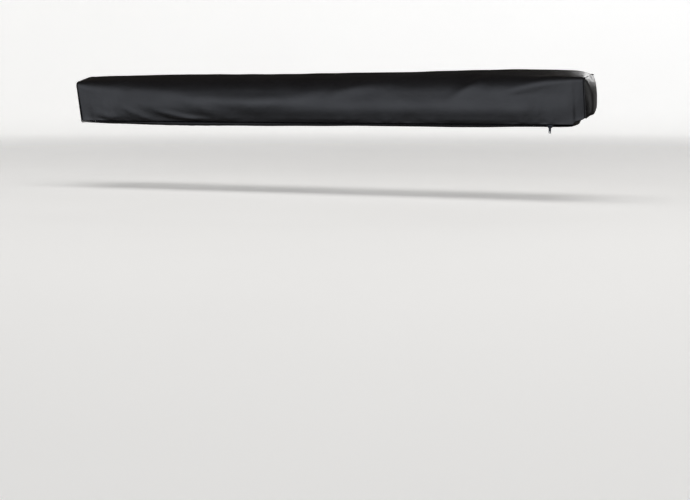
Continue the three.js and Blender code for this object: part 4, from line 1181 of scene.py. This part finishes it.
def floor_paint():
    """Matt white emulsion, barely uneven, with a painted glow in place of lamps' wash: the paint
    gives off light, growing from 1.5 m out to 9 m.
    """
    material, tree, shader, place = new_material("matt floor paint", 0.0)
    cloud = add_node(tree, "ShaderNodeTexNoise", {0: place, "Scale": per(1250.0), "Detail": 2.0})
    out = add_node(tree, "ShaderNodeVectorMath", {0: place}, operation="LENGTH").outputs["Value"]
    # Painted glow: the paint gives off light, more the further out it lies, in place of lamps
    # washing the floor and wall.
    painted_glow = add_node(tree, "ShaderNodeMapRange", {0: out, 1: 1.5, 2: 9.0, 3: 0.0, 4: 0.52})
    dress(shader, (cloud, "#dedddb", "#e3e2e0"), (cloud, 0.88, 0.95))
    feed(shader, {
        "Specular IOR Level": 0.1, "Emission Color": linear("#fbfbfa"), "Emission Strength": painted_glow,
    })
    return material


white_paint = floor_paint()
floor = shown("floor", cyclorama("floor", floor_height, True), white_paint)
behind = cyclorama("backdrop", floor_height - backdrop_drop, False)
backdrop = shown("backdrop", behind, white_paint)
for stage_piece in (floor, backdrop):
    stage_piece.visible_glossy = False
backdrop.visible_diffuse = False
backdrop.visible_shadow = False

# Light: a wide pale tent in front, as the world's glow round one direction, lights the cover, and
# a softbox overhead lights matt surfaces. Others show in gloss: on the top edge at the right, from
# behind, on the right end, and on the bare metal, which sees the white studio all round it.

tent_glow, tent_spread, room_glow = 1.75, 4.0, 0.03

world = bpy.data.worlds.new("studio")
bpy.context.scene.world = world
world.use_nodes = True
tree = world.node_tree
tree.nodes.clear()
way = add_node(tree, "ShaderNodeTexCoord", {}).outputs["Generated"]
toward = add_node(
    tree, "ShaderNodeVectorMath", {0: way, 1: tent_way}, operation="DOT_PRODUCT"
).outputs["Value"]
front_half = add_node(tree, "ShaderNodeMath", {0: toward, 1: 0.0}, operation="MAXIMUM")
tent = add_node(tree, "ShaderNodeMath", {0: front_half, 1: tent_spread}, operation="POWER")
tent_light = add_node(tree, "ShaderNodeBackground", {0: linear("#eff4ff"), 1: tent_glow})
room_light = add_node(tree, "ShaderNodeBackground", {0: linear("#ffe4c0"), 1: room_glow})
glow = add_node(tree, "ShaderNodeMixShader", {0: tent, 1: room_light, 2: tent_light})
add_node(tree, "ShaderNodeOutputWorld", {0: glow})

bare_metal = bpy.data.collections.new("bare metal pieces")
for piece in bpy.data.objects:
    if piece.type == "MESH" and {aluminium, zinc} & set(piece.data.materials):
        bare_metal.objects.link(piece)
# Each softbox: name, place, where it aims, size, power, what it shows in, and on which pieces.
softboxes = [
    ("overhead", (0.0, -1.0, 4.5), (0.0, -0.6, 0.0), (7.0, 5.0), 300.0, "matt", None),
    ("rim", (1.45, 4.4, 2.2), (0.9, -0.1, 0.1), (2.2, 2.4), 115.0, "gloss", None),
    ("back", (2.9, 6.0, 0.4), (1.0, 0.0, 0.1), (4.0, 3.6), 9.0, "gloss", None),
    ("side", (7.0, 0.4, 0.1), (1.0, 0.0, 0.05), (3.6, 4.2), 56.0, "gloss", None),
    ("metal top", (0.0, -1.5, 5.0), (0.0, -1.0, 0.0), (8.0, 6.0), 130.0, "gloss", bare_metal),
    ("metal back", (0.0, 6.5, 2.5), (0.0, 0.0, 0.0), (9.0, 4.0), 90.0, "gloss", bare_metal),
    ("metal floor", (0.0, -1.0, -0.29), (0.0, -1.0, 1.0), (9.0, 9.0), 150.0, "gloss", bare_metal),
]
for name, place, aim, size, power, seen_in, receivers in softboxes:
    lamp = bpy.data.lights.new(f"{name} softbox", "AREA")
    lamp.shape = "RECTANGLE"
    lamp.size, lamp.size_y = size
    lamp.energy = power
    light = bpy.data.objects.new(f"{name} softbox", lamp)
    light.location = place
    way = mathutils.Vector(aim) - mathutils.Vector(place)
    light.rotation_euler = way.to_track_quat("-Z", "Y").to_euler()
    light.visible_glossy = seen_in == "gloss"
    light.visible_diffuse = seen_in == "matt"
    light.visible_camera = False
    light.light_linking.receiver_collection = receivers
    bpy.context.scene.collection.objects.link(light)

# Camera: where the photo was taken from, 5.6 m away to the right of the middle and just below the
# awning's height. Its focal length is 1420 pixels in a picture 690 wide.

picture_width, focal_length = 690, 1420
camera_place = (2.2665, -5.1160, 0.088)
camera_tilt, camera_turn = 90 - 6.349, 23.161

camera_data = bpy.data.cameras.new("photo view")
camera_data.sensor_width = 36.0
camera_data.lens = focal_length / picture_width * camera_data.sensor_width
camera = bpy.data.objects.new("photo view", camera_data)
camera.location = camera_place
camera.rotation_euler = (math.radians(camera_tilt), 0.0, math.radians(camera_turn))
bpy.context.scene.collection.objects.link(camera)
bpy.context.scene.camera = camera
bpy.context.scene.view_settings.view_transform = "Standard"
